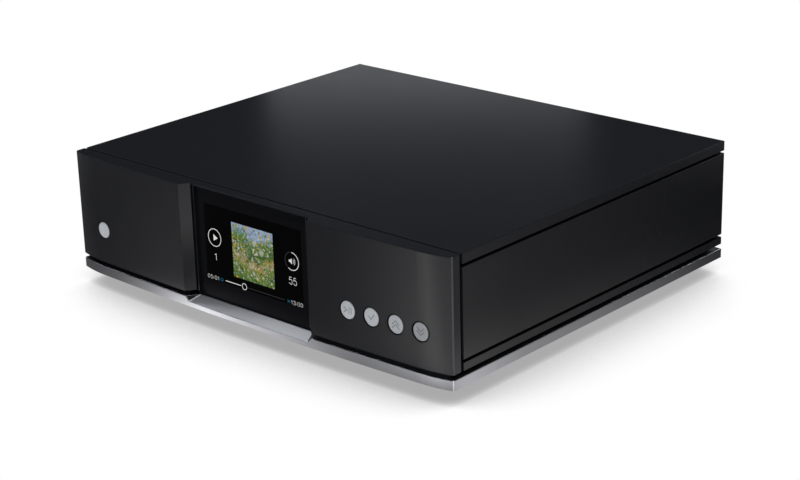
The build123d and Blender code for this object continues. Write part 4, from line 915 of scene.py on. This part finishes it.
class STREAMER_OT_rings(bpy.types.Operator):
    """Make the play and volume rings with their marks"""

    bl_idname = "streamer.rings"
    bl_label = "Rings"

    def execute(self, context):
        screen = context.scene.streamer_screen
        x, z = screen.ring_reach, screen_foot + screen.ring_rise
        radius, width = screen.ring_radius, screen.ring_width
        ring_sign("play_ring", -x, z, radius, width, "lit_white")
        mark = front_disc(-x + PLAY_SHIFT, z, PLAY_RADIUS, 3, math.pi / 2)
        stand_out(mark)
        settle(mark, "play_mark", lit("lit_white"))
        ring_sign("volume_arc", x, z, radius, width, "lit_white", 0.0, VOLUME_TURN)
        ring_sign("volume_rest", x, z, radius, width * 0.7, "lit_dim", VOLUME_TURN + 1, 359.9)
        speaker_sign(x, z)
        return {"FINISHED"}


# Text, width and thickness of the strokes of each number.
NUMBERS = {
    "track_number": ("1", 1.5 * mm, 0.4 * mm),
    "volume_number": ("55", 6.4 * mm, 0.36 * mm),
    "time_elapsed": ("05:01", 10.3 * mm, 0.22 * mm),
    "time_left": ("13:00", 10.2 * mm, 0.22 * mm),
}
TIME_PLACES, TIME_DROP = (-38.9 * mm, 38.35 * mm), 0.2 * mm


class STREAMER_OT_numbers(bpy.types.Operator):
    """Make the track number, the volume and the two times"""

    bl_idname = "streamer.numbers"
    bl_label = "Numbers"

    def execute(self, context):
        screen = context.scene.streamer_screen
        x, high = screen.ring_reach, screen_foot + screen.number_rise
        left, right = TIME_PLACES
        low = screen_foot + screen.time_rise
        places = {
            "track_number": (-x, high, screen.number_size),
            "volume_number": (x, high, screen.number_size),
            "time_elapsed": (left, low - TIME_DROP, screen.time_size),
            "time_left": (right, low, screen.time_size),
        }
        for name, (text, wide, thick) in NUMBERS.items():
            number_sign(name, text, *places[name], wide, thick)
        return {"FINISHED"}


LINE_ENDS, LINE_GAP = (-27.0 * mm, 27.2 * mm), (-12.9 * mm, -6.2 * mm)
HANDLE_PLACE, HANDLE_RADIUS, HANDLE_WIDTH = -9.5 * mm, 2.3 * mm, 0.42 * mm
MARK_WIDTH = 0.4 * mm
LEFT_MARK_PLACE, LEFT_MARK_RADIUS = -30.7 * mm, 1.3 * mm
RIGHT_MARK_ENDS, RIGHT_MARK_RISE = (30.0 * mm, 32.2 * mm), 0.8 * mm


class STREAMER_OT_progress(bpy.types.Operator):
    """Make the progress line, its ring and the two small blue marks"""

    bl_idname = "streamer.progress"
    bl_label = "Progress line"

    def execute(self, context):
        screen = context.scene.streamer_screen
        z = screen_foot + screen.time_rise
        width = screen.line_width
        start, end = LINE_ENDS
        stroke_sign("progress_done", (start, z), (LINE_GAP[0], z), "lit_white", width)
        stroke_sign("progress_rest", (LINE_GAP[1], z), (end, z), "lit_dim", width * 0.6)
        ring_sign("progress_ring", HANDLE_PLACE, z, HANDLE_RADIUS, HANDLE_WIDTH, "lit_white")
        ring_sign("left_mark", LEFT_MARK_PLACE, z, LEFT_MARK_RADIUS, MARK_WIDTH, "lit_blue", 30.0, 330.0)
        left, right = RIGHT_MARK_ENDS
        for i, rise in enumerate((RIGHT_MARK_RISE, -RIGHT_MARK_RISE)):
            stroke_sign(f"right_mark_{i + 1}", (left, z - rise), (right, z + rise), "lit_blue", MARK_WIDTH)
        return {"FINISHED"}


def button_finish(name):
    """Spun silver round the button's own middle, darker in the engraved strokes; painted shade on the stem and
    over the faces of the buttons further along the row, and a painted highlight at the rim.
    """
    colour = tuple(finishes().button_silver)
    low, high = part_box(name)
    middle = middle_of(name)
    finish = spun(f"button_silver_{name}", colour, 0.42, middle)
    finish.set("Metallic", 0.0)
    finish.set("Specular IOR Level", 0.2)
    # Painted shade: the silver made darker for the buttons further along the row.
    silver = shade(colour, BUTTON_PAINTED_SHADE.get(name, 1.0))
    deep = finish.within(1, *(low.y + depth for depth in ENGRAVING), 0.04 * mm)
    side = finish.within(1, low.y + STEM_FROM, high.y, SKIN)
    radius = (high.z - low.z) / 2
    rim = finish.spread(finish.reach(middle), 0.0, 1.0, *(radius - edge for edge in RIM_EDGE))
    worn = finish.mix(finish.noise(1.5 * mm, detail=4.0), silver, shade(silver, 0.84))
    face = finish.mix(deep, worn, shade(silver, 0.4))
    # Painted highlight: a paler band at the rim of the face.
    rim_lit_face = finish.mix(rim, face, shade(silver, 1.3))
    # Painted shade: the stem behind the face nearly black.
    finish.set("Base Color", finish.mix(side, rim_lit_face, shade(silver, 0.03)))
    return finish.material


class STREAMER_OT_buttons(bpy.types.Operator):
    """Finish the five push buttons"""

    bl_idname = "streamer.buttons"
    bl_label = "Buttons"

    def execute(self, context):
        for name in BUTTONS:
            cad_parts[name].data.materials[0] = button_finish(name)
            dressed.add(name)
        return {"FINISHED"}


class STREAMER_OT_rear(bpy.types.Operator):
    """Finish the connectors at the rear"""

    bl_idname = "streamer.rear"
    bl_label = "Rear connectors"

    def execute(self, context):
        dress(
            "mains_inlet", "connector_pins", "fuse_drawer", "mains_fuse", "switch_frame", "mains_rocker",
            "earth_post", "earth_knob", "ethernet_socket", "usb_sockets", "link_socket", "digital_plug",
            "coax_jack", "optical_socket", "optical_shutter", "aerial_jacks", "machine_screws",
        )
        return {"FINISHED"}


class STREAMER_OT_inside(bpy.types.Operator):
    """Finish what the case holds"""

    bl_idname = "streamer.inside"
    bl_label = "Inside"

    def execute(self, context):
        dress(
            "display_board", "key_boards", "key_switches", "corner_posts", "tie_bolts", "main_board",
            "power_board", "board_pillars", "chip_packages", "processor_heatsink", "shield_cans",
            "filter_capacitors", "regulator_heatsink", "partition_wall", "toroid_transformers",
            "transformer_clamps", "transformer_pads", "transformer_bolts", "ribbon_cable", "mains_wires",
            "foot_screws",
        )
        return {"FINISHED"}


def add_camera(stage):
    """Camera at the picture's viewing angle."""
    deselect()
    bpy.ops.object.camera_add(location=stage.camera_place)
    camera = bpy.context.object
    camera.name = "main_camera"
    flat = math.cos(stage.elevation)
    back = Vector((
        math.sin(stage.azimuth) * flat,
        -math.cos(stage.azimuth) * flat,
        math.sin(stage.elevation),
    ))
    right = Vector((0, 0, 1)).cross(back).normalized()
    up = back.cross(right)
    turned_right = right * math.cos(stage.roll) + up * math.sin(stage.roll)
    turned_up = up * math.cos(stage.roll) - right * math.sin(stage.roll)
    turn = Matrix((turned_right, turned_up, back)).transposed()
    camera.rotation_euler = turn.to_euler()
    camera.data.lens = stage.lens
    camera.data.sensor_width = 36.0
    camera.data.clip_end = 30.0
    bpy.context.scene.camera = camera


def seen_directly(pattern):
    """One for rays that show the background: straight, in gloss or through glass."""
    path = pattern.node("ShaderNodeLightPath").outputs
    indirect = pattern.math("MAXIMUM", path["Is Glossy Ray"], path["Is Transmission Ray"])
    return pattern.math("MAXIMUM", path["Is Camera Ray"], indirect)


# Levels of the floor's light, each after its place in metres along the mirroring edge.
PLATE_ROW = (
    (-0.17, 0.2), (-0.13, 0.3), (-0.09, 0.95), (-0.065, 2.1), (-0.04, 3.4), (0.0, 2.15), (0.06, 1.05),
    (0.09, 0.5), (0.17, 0.4), (0.2, 0.34),
)
WING_ROW = (
    (-0.2, 0.15), (-0.157, 0.22), (-0.112, 0.38), (-0.07, 0.62), (-0.05, 0.3), (0.05, 0.25),
    (0.067, 0.3), (0.113, 0.8), (0.145, 1.75), (0.165, 3.1), (0.18, 3.5), (0.2, 1.8),
)
SIDE_ROW = ((-0.2, 0.5), (-0.14, 1.5), (-0.08, 0.75), (0.03, 0.38), (0.13, 0.1), (0.2, 0.03))
CORNER_LEVEL, FAR_LEVEL = 3.0, 0.3
FRONT_INSET = 5.6 * mm
NARROWING = 1.57
# Distances in metres over which one part of the floor's light gives way to the next.
PLATE_TO_WINGS, SIDE_TO_FRONT, SIDE_FADE = (0.034, 0.048), (-0.03, 0.01), (0.04, 0.08)
BEAM_EDGE, BEAM_START, BEAM_STOP, FAR_FADE = (0.018, 0.032), (0.04, 0.06), (0.26, 0.3), (0.4, 0.55)


def floor_light(pattern, azimuth):
    """Brightness of the floor in the case's finishes, drawn in rows along the faces that mirror it."""
    east, south = math.sin(azimuth), math.cos(azimuth)
    coords = pattern.node("ShaderNodeTexCoord").outputs["Object"]
    parts = pattern.node("ShaderNodeSeparateXYZ", {0: coords}).outputs
    away = pattern.math("SUBTRACT", panel_low.y + FRONT_INSET, parts[1])
    leaned = pattern.math("MULTIPLY_ADD", away, east / south, parts[0])
    across = pattern.math("DIVIDE", leaned, pattern.math("MULTIPLY_ADD", away, NARROWING, 1.0))
    raised = pattern.spread(away, 0.0, 1.0, *PLATE_TO_WINGS)
    ahead = pattern.between(raised, pattern.curve(across, PLATE_ROW), pattern.curve(across, WING_ROW))
    outward = pattern.math("SUBTRACT", parts[0], case_box[1][0])
    along = pattern.math("MULTIPLY_ADD", outward, -south / east, parts[1])
    side = pattern.times(pattern.curve(along, SIDE_ROW), pattern.spread(outward, 1.0, 0.45, *SIDE_FADE))
    rows = pattern.between(pattern.spread(away, 0.0, 1.0, *SIDE_TO_FRONT), side, ahead)
    forth = pattern.math("MULTIPLY_ADD", outward, south, pattern.times(away, east))
    aside = pattern.math("SUBTRACT", pattern.times(outward, east), pattern.times(away, south))
    beam = pattern.spread(pattern.math("ABSOLUTE", aside), 1.0, 0.0, *BEAM_EDGE)
    start = pattern.spread(forth, 0.0, CORNER_LEVEL, *BEAM_START)
    stop = pattern.spread(forth, 1.0, 0.0, *BEAM_STOP)
    near = pattern.math("MULTIPLY_ADD", pattern.times(beam, start), stop, rows)
    reach = pattern.node("ShaderNodeVectorMath", {0: coords}, operation="LENGTH").outputs["Value"]
    return pattern.between(pattern.spread(reach, 0.0, 1.0, *FAR_FADE), near, FAR_LEVEL)


# How far the case's soft shadow on the floor reaches, the range kept of it, its power and its darkest level.
SHADOW_REACH, SHADOW_RANGE, SHADOW_POWER, SHADOW_DARKEST = 0.11, (0.25, 0.72), 1.6, 0.4
FLOOR_GREY = (0.82, 0.82, 0.82)
LAMP_TINT = (0.92, 0.96, 1.0)


def add_floor(stage):
    """Pale floor that shows white with the soft shadow of the case on it."""
    deselect()
    bpy.ops.mesh.primitive_plane_add(size=2 * stage.floor_half, location=(0, 0, 0))
    floor = bpy.context.object
    floor.name = "studio_floor"
    material = bpy.data.materials.new("studio_floor")
    material.use_nodes = True
    material.node_tree.nodes.clear()
    pattern = Pattern(material.node_tree)
    plain = pattern.node("ShaderNodeBsdfDiffuse", {"Color": opaque(FLOOR_GREY)}).outputs[0]
    path = pattern.node("ShaderNodeLightPath").outputs
    dark = pattern.node("ShaderNodeAmbientOcclusion", {"Distance": SHADOW_REACH}, samples=16).outputs["AO"]
    soft = pattern.math("POWER", pattern.spread(dark, 0.0, 1.0, *SHADOW_RANGE), SHADOW_POWER)
    shaded = pattern.math("MULTIPLY_ADD", soft, 1 - SHADOW_DARKEST, SHADOW_DARKEST)
    seen = pattern.between(path["Is Camera Ray"], floor_light(pattern, stage.azimuth), shaded)
    glow = pattern.node("ShaderNodeEmission", {"Strength": seen}).outputs[0]
    choice = pattern.node("ShaderNodeMixShader", {0: seen_directly(pattern), 1: plain, 2: glow})
    pattern.node("ShaderNodeOutputMaterial", {"Surface": choice.outputs[0]})
    floor.data.materials.append(material)


def add_world(stage):
    """Studio all round: white low down, and a dimmer ceiling."""
    world = bpy.data.worlds.new("studio")
    bpy.context.scene.world = world
    world.use_nodes = True
    pattern = Pattern(world.node_tree)
    coords = pattern.node("ShaderNodeTexCoord").outputs["Generated"]
    height = pattern.node("ShaderNodeSeparateXYZ", {0: coords}).outputs["Z"]
    sockets = {"Value": height, "From Min": 0.02, "From Max": 0.14, "To Min": 1.0, "To Max": 0.04}
    fall = pattern.node("ShaderNodeMapRange", sockets, interpolation_type="SMOOTHSTEP").outputs[0]
    level = pattern.between(seen_directly(pattern), stage.world_level, fall)
    pattern.feed(world.node_tree.nodes["Background"].inputs["Strength"], level)


def add_lamp(name, place, target, size, power):
    """Square soft lamp aimed at a place, which the camera doesn't see."""
    deselect()
    bpy.ops.object.light_add(type="AREA", location=place)
    lamp = bpy.context.object
    lamp.name = name
    lamp.data.shape = "RECTANGLE"
    lamp.data.size, lamp.data.size_y = size
    lamp.data.energy = power
    lamp.data.color = LAMP_TINT
    lamp.rotation_euler = (Vector(target) - Vector(place)).to_track_quat("-Z", "Y").to_euler()
    lamp.visible_camera = False


# Place, target, size and power in watts of each lamp.
LAMPS = {
    "rear_lamp": ((-0.462, 0.552, 0.232), (-0.14, 0.14, 0.09), (0.34, 0.06), 0.058),
    "back_lamp": ((0.12, 1.05, 0.36), (0.00, 0.14, 0.05), (0.60, 0.30), 5.0),
    "fill_lamp": ((-0.50, -1.60, 0.50), (0.00, -0.15, 0.05), (1.00, 0.60), 2.7),
    "upper_lamp": ((-0.75, -0.21, 1.15), (0.00, -0.15, 0.02), (0.20, 1.10), 6.5),
    "top_lamp": ((0.30, -0.20, 1.60), (0.00, 0.00, 0.00), (1.20, 1.20), 16.0),
}


class STREAMER_OT_stage(bpy.types.Operator):
    """Make the camera, floor, background and lamps"""

    bl_idname = "streamer.stage"
    bl_label = "Stage"

    def execute(self, context):
        stage = context.scene.streamer_stage
        add_camera(stage)
        add_floor(stage)
        add_world(stage)
        for name, (place, target, size, watts) in LAMPS.items():
            add_lamp(name, place, target, size, watts * stage.lamp_level)
        return {"FINISHED"}


STEPS = (
    "case", "base", "glass", "picture", "rings", "numbers", "progress", "buttons", "rear", "inside", "stage",
)
SETTINGS = {
    "streamer_finish": FinishSettings,
    "streamer_screen": ScreenSettings,
    "streamer_stage": StageSettings,
}


class STREAMER_PT_panel(bpy.types.Panel):
    """List of the streamer's steps and settings"""

    bl_idname = "STREAMER_PT_panel"
    bl_label = "Network music streamer"
    bl_space_type = "VIEW_3D"
    bl_region_type = "UI"
    bl_category = "Streamer"

    def draw(self, context):
        for step in STEPS:
            self.layout.operator(f"streamer.{step}")
        for name in SETTINGS:
            group = getattr(context.scene, name)
            for key in group.__annotations__:
                self.layout.prop(group, key)


CLASSES = (
    *SETTINGS.values(), STREAMER_OT_case, STREAMER_OT_base, STREAMER_OT_glass, STREAMER_OT_picture,
    STREAMER_OT_rings, STREAMER_OT_numbers, STREAMER_OT_progress, STREAMER_OT_buttons, STREAMER_OT_rear,
    STREAMER_OT_inside, STREAMER_OT_stage, STREAMER_PT_panel,
)


def register():
    """Register the classes and hang the settings on the scene."""
    for item in CLASSES:
        bpy.utils.register_class(item)
    for name, group in SETTINGS.items():
        setattr(bpy.types.Scene, name, bpy.props.PointerProperty(type=group))


def unregister():
    """Take the settings and classes away again."""
    for name in SETTINGS:
        delattr(bpy.types.Scene, name)
    for item in reversed(CLASSES):
        bpy.utils.unregister_class(item)


def main():
    """Run every step in order."""
    register()
    bpy.context.scene.view_settings.view_transform = "Standard"
    for step in STEPS:
        getattr(bpy.ops.streamer, step)()
    left = sorted(set(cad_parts) - dressed)
    if left:
        raise RuntimeError(f"no finish on {left}")


if __name__ == "__main__":
    main()
